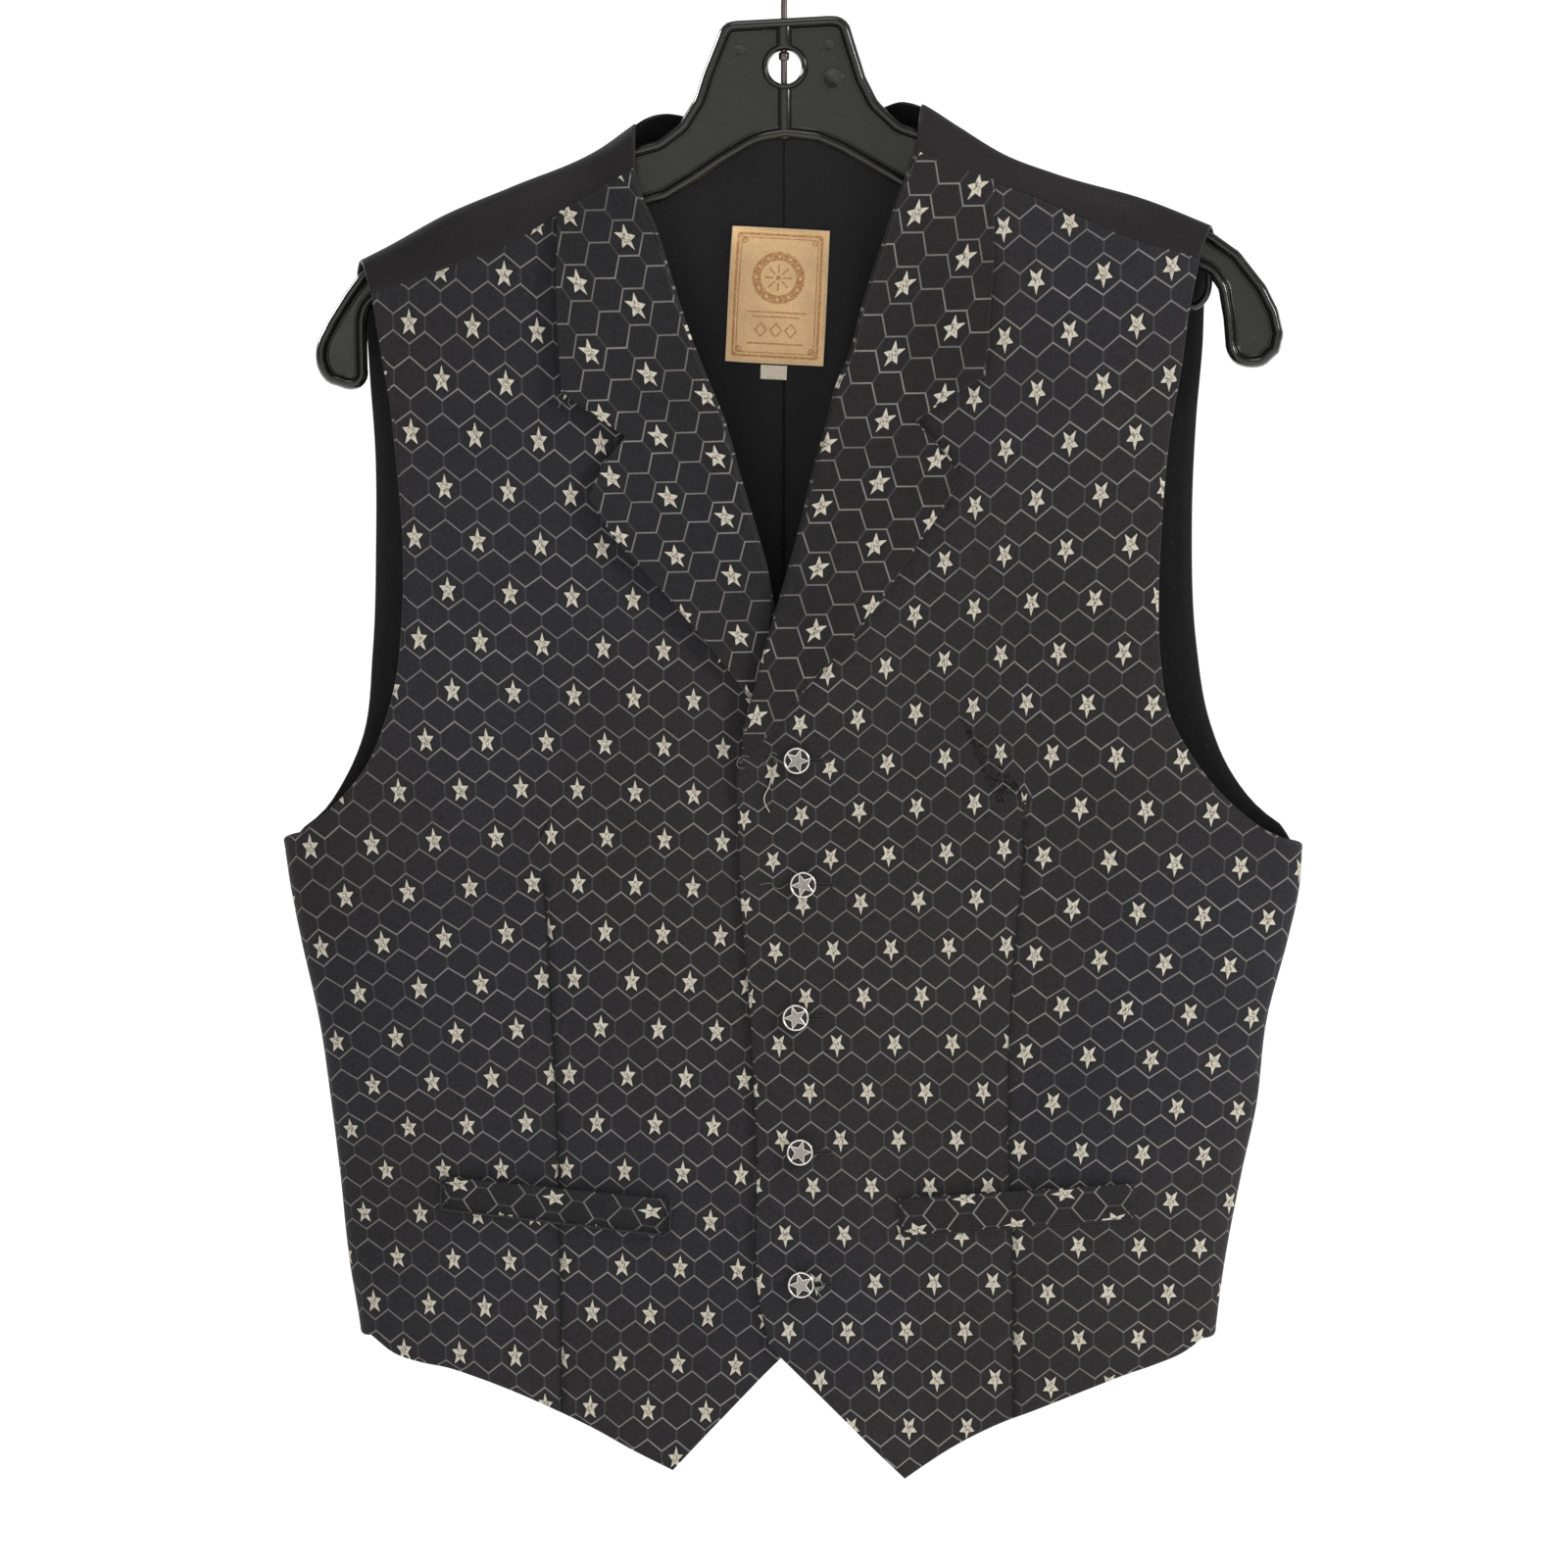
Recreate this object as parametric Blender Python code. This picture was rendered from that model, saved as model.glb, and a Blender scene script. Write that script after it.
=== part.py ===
"""A men's western vest, size medium, on a moulded plastic hanger with a wire hook.

The origin is the inner crest of the hook. X runs to the viewer's right as the vest is seen from the
front, the front faces -Y, and Z is up. Right and left in a piece's name are the wearer's.
"""

import math

import bmesh
import bpy
import numpy as np
from mathutils import Matrix, Vector

MM = 0.001

# Cloth thicknesses and the gap between neighbouring pieces, in millimetres.
FRONT_WALL = 2.0
BACK_WALL = 1.4
LAPEL_WALL = 1.7
WELT_WALL = 1.6
PATCH_WALL = 1.6
TAG_WALL = 0.8
SEAM_GAP = 0.3
LAID_GAP = 0.45

# The cloth rolls over the shoulder with this radius and reaches its full depth this far below.
SHOULDER_RADIUS = 8.0
SHOULDER_FALL = 90.0

# How far the fronts wrap past the side of the body on to the back, as an angle of the ring.
SIDE_WRAP = 0.17

# The body's greatest half width, and how much cloth a radian of the ring holds near the side seams.
BODY_HALF = 240
SIDE_CLOTH = 34.0

# How finely each net is cut. The cutaway and the open edges share the columns and rows of their sides.
COLUMNS = 16
CUTAWAY_COLUMNS = 5
SIDE_ROWS = 10
ARMHOLE_ROWS = 15
RIGHT_EDGE_ROWS = 14
LEFT_EDGE_ROWS = 11
BACK_ARMHOLE_STEPS = 60
BACK_EASE = 1.3

# Where the left front rises over the right one: x for the front and the lapel, then z for the lapel.
OVER_FRONT_X = (24, 75)
OVER_LAPEL_X = (12, 60)
OVER_LAPEL_TOP_Z = (-300, -338)
OVER_LAPEL_FOOT_Z = (-405, -455)

# A dart deepens over this length from its top.
DART_RUN = 60

# Rows of the back's net: shares of the strip in front of the crest, then drops behind the crest.
STRIP_SHARES = (1.0, 0.72, 0.5, 0.31, 0.15, 0.0)
CREST_DROPS = (4.0, 8.0, 12.0, 16.5, 21.5, 27.0)

# The crest of the shoulders, and over the neck the line that it would follow there.
RIDGE = (
    # x, z
    (-205, -187),
    (-190, -179.5),
    (-161, -163.5),
    (-129, -150),
    (-89, -133),
    (-64, -116),
    (-40, -107),
    (0, -102),
    (40, -104),
    (66, -111),
    (82, -121),
    (104, -134.5),
    (129, -144),
    (174, -157),
    (205, -169.5),
)

# Level rings of the body, from the hem up. Above the armholes they are the form the cloth leans on.
BODY = (
    # z, left side, right side, depth in front, depth behind, how square the sides are
    (-770, -197, 200, 25, 22, 3.0),
    (-690, -201, 205, 25, 22, 3.0),
    (-660, -206, 209, 26, 23, 3.0),
    (-618, -210.5, 217, 26, 24, 3.0),
    (-586, -214.5, 224, 27, 25, 3.0),
    (-545, -220.5, 229, 28, 26, 3.0),
    (-507, -229, 239, 29, 26, 3.0),
    (-482, -234, 244.5, 29, 26, 3.2),
    (-462, -237, 246, 29, 26, 3.4),
    (-400, -250, 257, 29, 27, 4.0),
    (-300, -270, 274, 28, 28, 5.0),
    (-100, -292, 292, 28, 28, 5.0),
)

# The largest folds: soft ridges where the height is more than nothing, and troughs where it is less.
FOLDS = (
    # face, x, z, half width, half length, lean in degrees, height
    ("front", -152, -400, 24, 90, -8, 1.6),
    ("front", -118, -560, 22, 120, 3, -1.5),
    ("front", -168, -600, 20, 90, 6, 1.8),
    ("front", 160, -415, 24, 85, 9, 1.7),
    ("front", 112, -560, 22, 120, -4, -1.5),
    ("front", 166, -590, 22, 100, -8, 2.0),
    ("back", -120, -330, 26, 110, -6, 2.6),
    ("back", -52, -420, 24, 140, 3, -2.4),
    ("back", 36, -350, 24, 130, -4, 2.4),
    ("back", 118, -380, 26, 120, 7, -2.6),
    ("back", -95, -600, 28, 90, 5, 2.4),
    ("back", 80, -610, 28, 95, -6, 2.6),
)

# Where the front's darts draw the cloth in, from the top of the dart to the hem.
DARTS = (
    # x at the top, top z, x at the hem, hem z, half width, depth
    (-115, -470, -105, -731, 7, 1.0),
    (113, -440, 108, -733, 7, 1.0),
)

RIGHT_YOKE_SEAM = (
    # x, z
    (-195.5, -201),
    (-172, -193.5),
    (-151.5, -186.5),
    (-129, -177),
    (-108.5, -165),
    (-92.5, -156),
    (-70.5, -142.5),
)
LEFT_YOKE_SEAM = (
    # x, z
    (62, -134.5),
    (81.5, -142.5),
    (101, -149),
    (121, -156.5),
    (137, -163.5),
    (161, -174),
    (197, -184.5),
)
RIGHT_ARMHOLE = (
    # x of the front's edge, z
    (-229, -456),
    (-216.5, -446.5),
    (-205.5, -435.5),
    (-197, -424),
    (-189, -405),
    (-184, -387),
    (-180.5, -355),
    (-180, -322),
    (-182.5, -288),
    (-186, -256),
    (-190.5, -230),
    (-195.5, -201),
)
LEFT_ARMHOLE = (
    # x of the front's edge, z
    (237, -459),
    (228, -455),
    (215, -445.5),
    (202.5, -433),
    (191.5, -418),
    (182.5, -401),
    (178, -375),
    (177, -341),
    (178, -319),
    (182.5, -267),
    (188, -236),
    (191, -214),
    (197, -184.5),
)
RIGHT_BACK_ARMHOLE = (
    # x of the back's edge, z
    (-203, -190.5),
    (-199.5, -212),
    (-197, -245),
    (-195, -272),
    (-194.5, -320),
    (-196, -370),
    (-201, -412),
    (-210, -432.5),
    (-219, -446),
    (-231, -456),
)
LEFT_BACK_ARMHOLE = (
    # x of the back's edge, z
    (204.5, -172.5),
    (201, -193),
    (199.5, -225),
    (196.5, -260),
    (194.5, -310),
    (196.5, -366),
    (203, -404),
    (212, -426),
    (226, -444.5),
    (239, -454.5),
)
NECKLINE = (
    # x, z of the back's neck edge
    (-70.5, -121.5),
    (-64, -116.6),
    (-56, -114.8),
    (-46, -116),
    (-20, -121),
    (0, -122.5),
    (22, -120),
    (44, -112.8),
    (56, -109.2),
    (66, -111.8),
)
RIGHT_ROLL = (
    # x, z of the right front's edge, from the yoke down to where the left front covers it
    (-70.5, -142.5),
    (-69, -149.5),
    (-61, -168.5),
    (-52.5, -195),
    (-45, -218.5),
    (-37, -239),
    (-28, -261),
    (-19.5, -290.5),
    (-11.5, -317.5),
    (-7.5, -332),
    (-5, -346),
)
LEFT_ROLL = (
    # x, z of the left front's edge, from the yoke down to the top of the buttoned edge
    (62, -134.5),
    (55, -152),
    (46.5, -177),
    (36, -209.5),
    (30, -232),
    (25, -243),
    (19, -266),
    (13, -287),
    (7.5, -310.5),
    (-1, -341),
    (-6, -358),
    (-9.5, -370),
    (-13, -384),
    (-16.5, -397),
    (-19.5, -414),
    (-22.5, -429),
)
RIGHT_FRONT_EDGE = (
    # x, z of the covered edge, down to the corner of the cutaway
    (-5, -346),
    (-1, -368),
    (6, -396),
    (14, -440),
    (18, -480),
    (18.5, -560),
    (18.5, -686),
)
LEFT_FRONT_EDGE = (
    # x, z of the buttoned edge, down to the corner of the cutaway
    (-22.5, -429),
    (-20.5, -487),
    (-17.5, -523),
    (-15.5, -552),
    (-13, -609),
    (-11.5, -679),
    (-7, -699),
)
RIGHT_HEM = (
    # x, z from the side seam to the point
    (-196, -694.5),
    (-184.5, -703),
    (-172, -707),
    (-159, -709.5),
    (-145, -714),
    (-129, -720),
    (-104, -731),
    (-90.5, -737.5),
    (-70.5, -748.5),
    (-52.5, -757.5),
)
LEFT_HEM = (
    # x, z from the point to the side seam
    (57, -761.5),
    (64.5, -756.5),
    (81.5, -744.5),
    (97, -736),
    (118, -730),
    (147, -718),
    (161, -712.5),
    (176, -708.5),
    (188, -703.5),
    (199, -696),
)
# The cutaways as x, z: the right one up from the point to the corner, the left one down from it.
RIGHT_CUTAWAY = ((-52.5, -757.5), (-36.5, -740.5), (-22.5, -726), (-9.5, -712.5), (18.5, -686))
LEFT_CUTAWAY = ((-7, -699), (12, -717.5), (30.5, -735.5), (40.5, -748.5), (57, -761.5))
HEM_CORNER_Z = -689.0
ARMPIT_Z = (-461.5, -463.5)
NECK_CENTRE_Z = -122.5
BACK_HEM_CENTRE_Z = -697.0
BACK_HEM_MIDDLE_Z = -695.5

# Lapels: x, z of the outer edge in straight or curved stretches. The inner edge follows the roll.
RIGHT_LAPEL_OUTER = (
    ((-107, -165), (-107.5, -205), (-105.5, -248)),
    ((-105.5, -248), (-92.5, -258), (-75, -269.5)),
    ((-75, -269.5), (-86, -284), (-92.5, -298)),
    ((-92.5, -298), (-83.5, -313), (-55, -345.5), (-30.5, -374.5), (-16.5, -393)),
)
LEFT_LAPEL_OUTER = (
    ((99.5, -149.5), (98, -198), (95, -241)),
    ((95, -241), (82, -249), (62, -262)),
    ((62, -262), (74, -275), (84, -290.5)),
    ((84, -290.5), (62.5, -322), (33.5, -363.5), (11, -388), (-1, -405), (-18.5, -419.5)),
)
# x, z down the part of the right lapel that the left front covers, and where the left lapel's rows end.
RIGHT_LAPEL_END = ((-5, -346), (-7.5, -372), (-14, -392))
LEFT_LAPEL_ROWS_END = (-18.9, -416.0)
LAPEL_COLUMNS = 5
LAPEL_STRETCH_ROWS = (8, 4, 3, 11)
LAPEL_END_ROWS = 3

WELTS = (
    # name, top left x, z, top right x, z, bottom right x, z, bottom left x, z
    ("right_welt", -161, -618.5, -54, -629.5, -54.5, -646, -161.5, -634),
    ("left_welt", 54, -629, 164.5, -622, 165, -638.5, 56, -646.5),
)
BUTTONS = (
    # name, x, z, turn of the star in degrees
    ("button_1", 6, -422.5, 9),
    ("button_2", 9, -481, 50),
    ("button_3", 5.5, -543.5, 24),
    ("button_4", 7.5, -607, 3),
    ("button_5", 8, -669.5, 36),
)
BUTTON_RADIUS = 6.3
BUTTON_RING = 1.0
BUTTON_BASE = 0.9
BUTTON_RISE = 0.7
BUTTON_BEVEL = 0.3
BUTTON_CROWN = 0.35
BUTTON_SHANK_RADIUS = 1.6
BUTTON_SHANK = 1.3
BUTTON_SECTORS = 20
STAR_INNER_SHARE = 0.42
STAR_ARM_CURVE = 0.7
STAR_SLOPE = 0.15

# x, z of the corners, from the top left and round to the bottom left.
PATCH = ((-24.5, -167), (22, -169.5), (19, -234.5), (-28.5, -232))
TAG = ((-11, -233.5), (1.5, -234.2), (1.2, -241), (-11.3, -240.3))

# The hanger: one outline, a rounded rim round a thin web. With no height, an arm starts or ends there
# that follows the crest of the shoulders just below the cloth.
HANGER_OUTLINE = (
    # x, z, clockwise from the plate's left corner
    (-30.5, -76),
    (-27.5, -72.6),
    (-23, -71.4),
    (22, -69),
    (27, -69.8),
    (31, -73.5),
    (38.7, -98),
    (44, -108.5),
    (48.6, -113.5),
    (55.5, -119.8),
    (66, -123.5),
    (82, -127),
    (104, None),
    (191, None),
    (204, -172.4),
    (216, -181),
    (228.5, -197),
    (234.5, -209),
    (237, -220),
    (235, -228.5),
    (228.5, -234.5),
    (221, -236),
    (213.5, -233.5),
    (209.5, -226.5),
    (208.3, -212.5),
    (206, -199),
    (201, -191.5),
    (190, -186.5),
    (170, -180),
    (145, -172),
    (110, -163),
    (78, -157),
    (55.5, -150.5),
    (40, -141.5),
    (26.5, -133.8),
    (15.3, -129),
    (1, -127.3),
    (-8, -128.8),
    (-16, -131.8),
    (-28.7, -139.3),
    (-41.5, -148),
    (-55.5, -156.5),
    (-78, -163),
    (-110, -173),
    (-145, -185.5),
    (-175, -196.5),
    (-190, -203),
    (-196, -208),
    (-197.8, -215),
    (-197.3, -240),
    (-201, -245.4),
    (-207, -246.3),
    (-215.5, -243.5),
    (-220.5, -237.5),
    (-222, -230),
    (-220.5, -222),
    (-216, -213),
    (-208.5, -201),
    (-201.5, -191.5),
    (-190, None),
    (-89, None),
    (-72, -131.5),
    (-60, -128),
    (-50, -120.5),
    (-42.5, -108.5),
    (-38.5, -96),
)
ARM_STEPS = 12
ARM_SEAT = 0.85
RIM_STEPS = (
    # inwards, half thickness
    (1.7, 2.0),
    (1.6, 1.2),
    (1.0, -0.5),
    (0.7, -3.4),
)
RIM_EDGE_HALF = 2.0
RING_CENTRE = (0.4, -93.5)
RING_HOLE = 7.9
RING_OUTER = 10.8
RIM_HALF = 5.2
BARREL_RADIUS = 3.9
BARREL_ENDS = (-72.6, -84.2)
SHANK_BORE = 1.8
SHANK_BORE_ENDS = (-60.0, -93.5)
CUT_PAST = 2.0
RIB_RADIUS = 3.2
RIB_ENDS = (-102.0, -127.2)
WEB_HALF = 1.4
BOSSES = (
    # x, z, radius, how far it stands out of the web
    (-21.3, -85.5, 2.9, 0.5),
    (21.3, -83.0, 2.9, 0.5),
    (23.2, -99.0, 5.3, 1.3),
)
STRAP_HOOKS = (
    # x, z along each of the two small hooks under the arms' ends
    ((200, -186), (201.5, -195), (199.5, -203), (194.5, -207), (189.5, -205.5), (188, -201)),
    ((-184.5, -194), (-183, -206), (-184.5, -212.5), (-189, -216), (-193, -214.5)),
)
STRAP_HOOK_RADIUS = 1.7
STRAP_HOOK_STEPS = 7

WIRE_RADIUS = 1.5
HOOK_BEND = 19.0
HOOK_ARC = range(-45, 215, 13)
HOOK_STEM = (
    # x, z, radius, from the foot in the ring, through the ferrule and up to the bend
    (0, -100.8, 1.5),
    (0, -89.8, 1.5),
    (0, -89.5, 2.5),
    (0, -86.7, 2.5),
    (0, -86.4, 1.5),
    (0, -58.0, 1.5),
    (1.2, -50.5, 1.5),
    (5.0, -43.5, 1.5),
    (10.0, -38.2, 1.5),
)


def clear_scene():
    for thing in list(bpy.data.objects):
        bpy.data.objects.remove(thing, do_unlink=True)


def finish_material(name, colour, roughness, metallic=0.0):
    material = bpy.data.materials.new(name)
    material.use_nodes = True
    shader = material.node_tree.nodes["Principled BSDF"]
    shader.inputs["Base Color"].default_value = (*colour, 1.0)
    shader.inputs["Roughness"].default_value = roughness
    shader.inputs["Metallic"].default_value = metallic
    return material


def through(at, rows, column=1):
    """The smooth curve through a column of a table, read at places of its first column."""
    place = np.array([row[0] for row in rows], float)
    value = np.array([row[column] for row in rows], float)
    slope = np.gradient(value, place)
    at = np.clip(at, place[0], place[-1])
    k = np.clip(np.searchsorted(place, at) - 1, 0, len(place) - 2)
    step = place[k + 1] - place[k]
    t = (at - place[k]) / step
    ends = value[k] * (1 + 2 * t) * (1 - t) ** 2 + value[k + 1] * t**2 * (3 - 2 * t)
    return ends + step * (slope[k] * t * (1 - t) ** 2 + slope[k + 1] * t**2 * (t - 1))


def smooth_step(value, low, high):
    t = np.clip((value - low) / (high - low), 0, 1)
    return t * t * (3 - 2 * t)


def ring_at(z):
    """Centre, half width, both depths and squareness of the body at a height."""
    low, high, front, back, power = (through(z, BODY, column) for column in range(1, 6))
    return (low + high) / 2, (high - low) / 2, front, back, power


def fold_height(x, z, face):
    """How far the folds and darts stand out of the plain form, seen square on."""
    height = np.zeros(np.shape(x))
    for on, x0, z0, half_width, half_length, lean, rise in FOLDS:
        if on != face:
            continue
        c, s = math.cos(math.radians(lean)), math.sin(math.radians(lean))
        across = (x - x0) * c + (z - z0) * s
        along = (z - z0) * c - (x - x0) * s
        height = height + rise * np.exp(-((across / half_width) ** 2) - (along / half_length) ** 2)
    if face == "front":
        for x_top, z_top, x_hem, z_hem, half_width, depth in DARTS:
            share = np.clip((z_top - z) / (z_top - z_hem), 0, 1)
            across = x - (x_top + (x_hem - x_top) * share)
            trough = np.exp(-((across / half_width) ** 2))
            height = height - depth * trough * smooth_step(z_top - z, 0, DART_RUN)
    return height


def place(turn, drop):
    """Where an angle round the body and a distance below the shoulder's crest lie, seen from the front."""
    below = np.sqrt(drop**2 + SHOULDER_RADIUS**2) - SHOULDER_RADIUS
    x = BODY_HALF * np.sin(turn)
    for _ in range(8):
        z = through(x, RIDGE) - below
        centre, half, *_ = ring_at(z)
        x = centre + half * np.sin(turn)
    return x, through(x, RIDGE) - below, below


def cloth(turn, drop):
    """Points on the vest's form. The drop is less than nothing in front and more behind."""
    turn, drop = np.asarray(turn, float), np.asarray(drop, float)
    x, z, below = place(turn, drop)
    _, _, front, back, power = ring_at(z)
    rise = 1 - (1 - np.minimum(below / SHOULDER_FALL, 1)) ** 2
    round_side = np.sqrt(1 - np.abs(np.sin(turn)) ** power)
    face = np.where(np.sign(drop) * np.sign(np.cos(turn)) < 0, -1.0, 1.0)
    depth = np.where(face < 0, front, back) * np.sqrt(rise) * round_side
    folds = np.where(face < 0, fold_height(x, z, "front"), fold_height(x, z, "back"))
    return np.stack([x, face * (depth + folds * np.cos(turn) ** 2 * rise), z], axis=-1)


def outward(turn, drop):
    """The cloth's outward direction."""
    turn, drop = np.asarray(turn, float), np.asarray(drop, float)
    across = cloth(turn + 1e-3, drop) - cloth(turn - 1e-3, drop)
    along = cloth(turn, drop + 0.2) - cloth(turn, drop - 0.2)
    normal = np.cross(across, along)
    return normal / np.linalg.norm(normal, axis=-1, keepdims=True)


def lifted(turn, drop, lift):
    return cloth(turn, drop) + outward(turn, drop) * np.asarray(lift)[..., None]


def on_form(points, face=-1, turn=None):
    """Angles and drops of points given by x and z, on the front (-1) or the back (1)."""
    x, z = np.asarray(points, float).T
    if turn is None:
        centre, half, *_ = ring_at(z)
        turn = np.arcsin(np.clip((x - centre) / half, -1, 1))
    else:
        turn = np.broadcast_to(turn, x.shape)
        centre, half, *_ = ring_at(z)
        x = centre + half * np.sin(turn)
    below = np.maximum(through(x, RIDGE) - z, 0)
    return np.stack([turn, face * np.sqrt((below + SHOULDER_RADIUS) ** 2 - SHOULDER_RADIUS**2)], axis=-1)


def along_line(points, count, ease=1.0):
    """A smooth line through the points in even steps, or in growing ones where the ease is over 1."""
    points = np.asarray(points, float)
    reach = np.concatenate([[0], np.cumsum(np.linalg.norm(np.diff(points, axis=0), axis=1))])
    at = reach[-1] * np.linspace(0, 1, count + 1) ** ease
    return np.stack([through(at, list(zip(reach, points[:, k]))) for k in (0, 1)], axis=-1)


def joined(*lines):
    """Lines laid end to end, each starting on the last point of the one before."""
    return np.concatenate([lines[0]] + [line[1:] for line in lines[1:]])


def patch_between(left, right, low, high):
    """A net of rows from the low edge to the high one, between a left and a right edge."""
    u = np.linspace(0, 1, len(low))[None, :, None]
    v = np.linspace(0, 1, len(left))[:, None, None]
    sides = left[:, None] * (1 - u) + right[:, None] * u
    ends = low[None] * (1 - v) + high[None] * v
    corners = (low[0] * (1 - u) + low[-1] * u) * (1 - v) + (high[0] * (1 - u) + high[-1] * u) * v
    return sides + ends - corners


def walled(name, net, lift, wall, material):
    """A piece of cloth: its outer face at a lift from the form, its inner face a wall further in."""
    turn, drop = net[..., 0], net[..., 1]
    lift = np.broadcast_to(lift, turn.shape)
    outer = lifted(turn, drop, lift).reshape(-1, 3)
    inner = lifted(turn, drop, lift - wall).reshape(-1, 3)
    rows, columns = turn.shape
    index = np.arange(rows * columns).reshape(rows, columns)
    cells = np.stack([index[:-1, :-1], index[:-1, 1:], index[1:, 1:], index[1:, :-1]], -1).reshape(-1, 4)
    rim = np.concatenate([index[0, :-1], index[:-1, -1], index[-1, :0:-1], index[:0:-1, 0]])
    turned = cells[:, ::-1] + rows * columns
    edge = np.stack([np.roll(rim, -1), rim, rim + rows * columns, np.roll(rim, -1) + rows * columns], -1)
    mesh = bpy.data.meshes.new(name)
    faces = np.concatenate([cells, turned, edge]).tolist()
    mesh.from_pydata((np.concatenate([outer, inner]) * MM).tolist(), [], faces)
    mesh.shade_smooth()
    mesh.set_sharp_from_angle(angle=math.radians(40))
    return place_object(name, mesh, material)


def place_object(name, mesh, material):
    thing = bpy.data.objects.new(name, mesh)
    bpy.context.scene.collection.objects.link(thing)
    if material is not None:
        mesh.materials.append(material)
    return thing


def shifted_side(turn, towards):
    """The side seam's angle, half a seam's gap towards one of the two pieces."""
    return turn + towards * SEAM_GAP / 2 / SIDE_CLOTH


def side_stations(side):
    """Heights along a side seam, from the hem's corner to the armpit."""
    armpit = ARMPIT_Z[0] if side < 0 else ARMPIT_Z[1]
    return np.linspace(HEM_CORNER_Z, armpit, SIDE_ROWS + 1)


def side_line(side, face):
    """The side seam's points on the front (-1) or back (1) piece."""
    z = side_stations(side)
    points = np.stack([np.zeros_like(z), z], -1)
    if face < 0:
        return on_form(points, -1, shifted_side(side * (math.pi / 2 + SIDE_WRAP), -side))
    return on_form(points, 1, shifted_side(side * (math.pi / 2 - SIDE_WRAP), -side))


def yoke_line(seam, face):
    """The yoke seam on the front piece (-1) or on the back's strip above it (1)."""
    line = on_form(along_line(seam, COLUMNS))
    return line + np.array([0, face * SEAM_GAP / 2])


def front_lift(net):
    """The left front lies over the right front's edge, and over the right lapel's end."""
    x, z, _ = place(net[..., 0], net[..., 1])
    over_front = (FRONT_WALL + LAID_GAP) * (1 - smooth_step(x, *OVER_FRONT_X))
    over_lapel = (LAPEL_WALL + LAID_GAP) * (1 - smooth_step(x, *OVER_LAPEL_X))
    beside = smooth_step(z, *OVER_LAPEL_TOP_Z) * (1 - smooth_step(z, *OVER_LAPEL_FOOT_Z))
    return over_front + over_lapel * beside


def right_front_net():
    armhole = on_form(along_line(RIGHT_ARMHOLE, ARMHOLE_ROWS - 1))
    side = side_line(-1, -1)
    left = np.concatenate([side, armhole])
    left[-1] = yoke_line(RIGHT_YOKE_SEAM, -1)[0]
    hem = along_line(RIGHT_HEM, COLUMNS - 1 - CUTAWAY_COLUMNS)
    low = joined(hem, along_line(RIGHT_CUTAWAY, CUTAWAY_COLUMNS))
    low = np.concatenate([side[:1], on_form(low)])
    roll = along_line(RIGHT_ROLL[::-1], SIDE_ROWS + ARMHOLE_ROWS - RIGHT_EDGE_ROWS)
    right = on_form(joined(along_line(RIGHT_FRONT_EDGE[::-1], RIGHT_EDGE_ROWS), roll))
    high = yoke_line(RIGHT_YOKE_SEAM, -1)
    right[-1] = high[-1]
    return patch_between(left, right, low, high)


def left_front_net():
    armhole = on_form(along_line(LEFT_ARMHOLE, ARMHOLE_ROWS - 1))
    side = side_line(1, -1)
    right = np.concatenate([side, armhole])
    high = yoke_line(LEFT_YOKE_SEAM, -1)
    right[-1] = high[-1]
    hem = along_line(LEFT_HEM, COLUMNS - 1 - CUTAWAY_COLUMNS)
    low = joined(along_line(LEFT_CUTAWAY, CUTAWAY_COLUMNS), hem)
    low = np.concatenate([on_form(low), side[:1]])
    roll = along_line(LEFT_ROLL[::-1], SIDE_ROWS + ARMHOLE_ROWS - LEFT_EDGE_ROWS)
    left = on_form(joined(along_line(LEFT_FRONT_EDGE[::-1], LEFT_EDGE_ROWS), roll))
    left[-1] = high[0]
    return patch_between(left, right, low, high)


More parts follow.
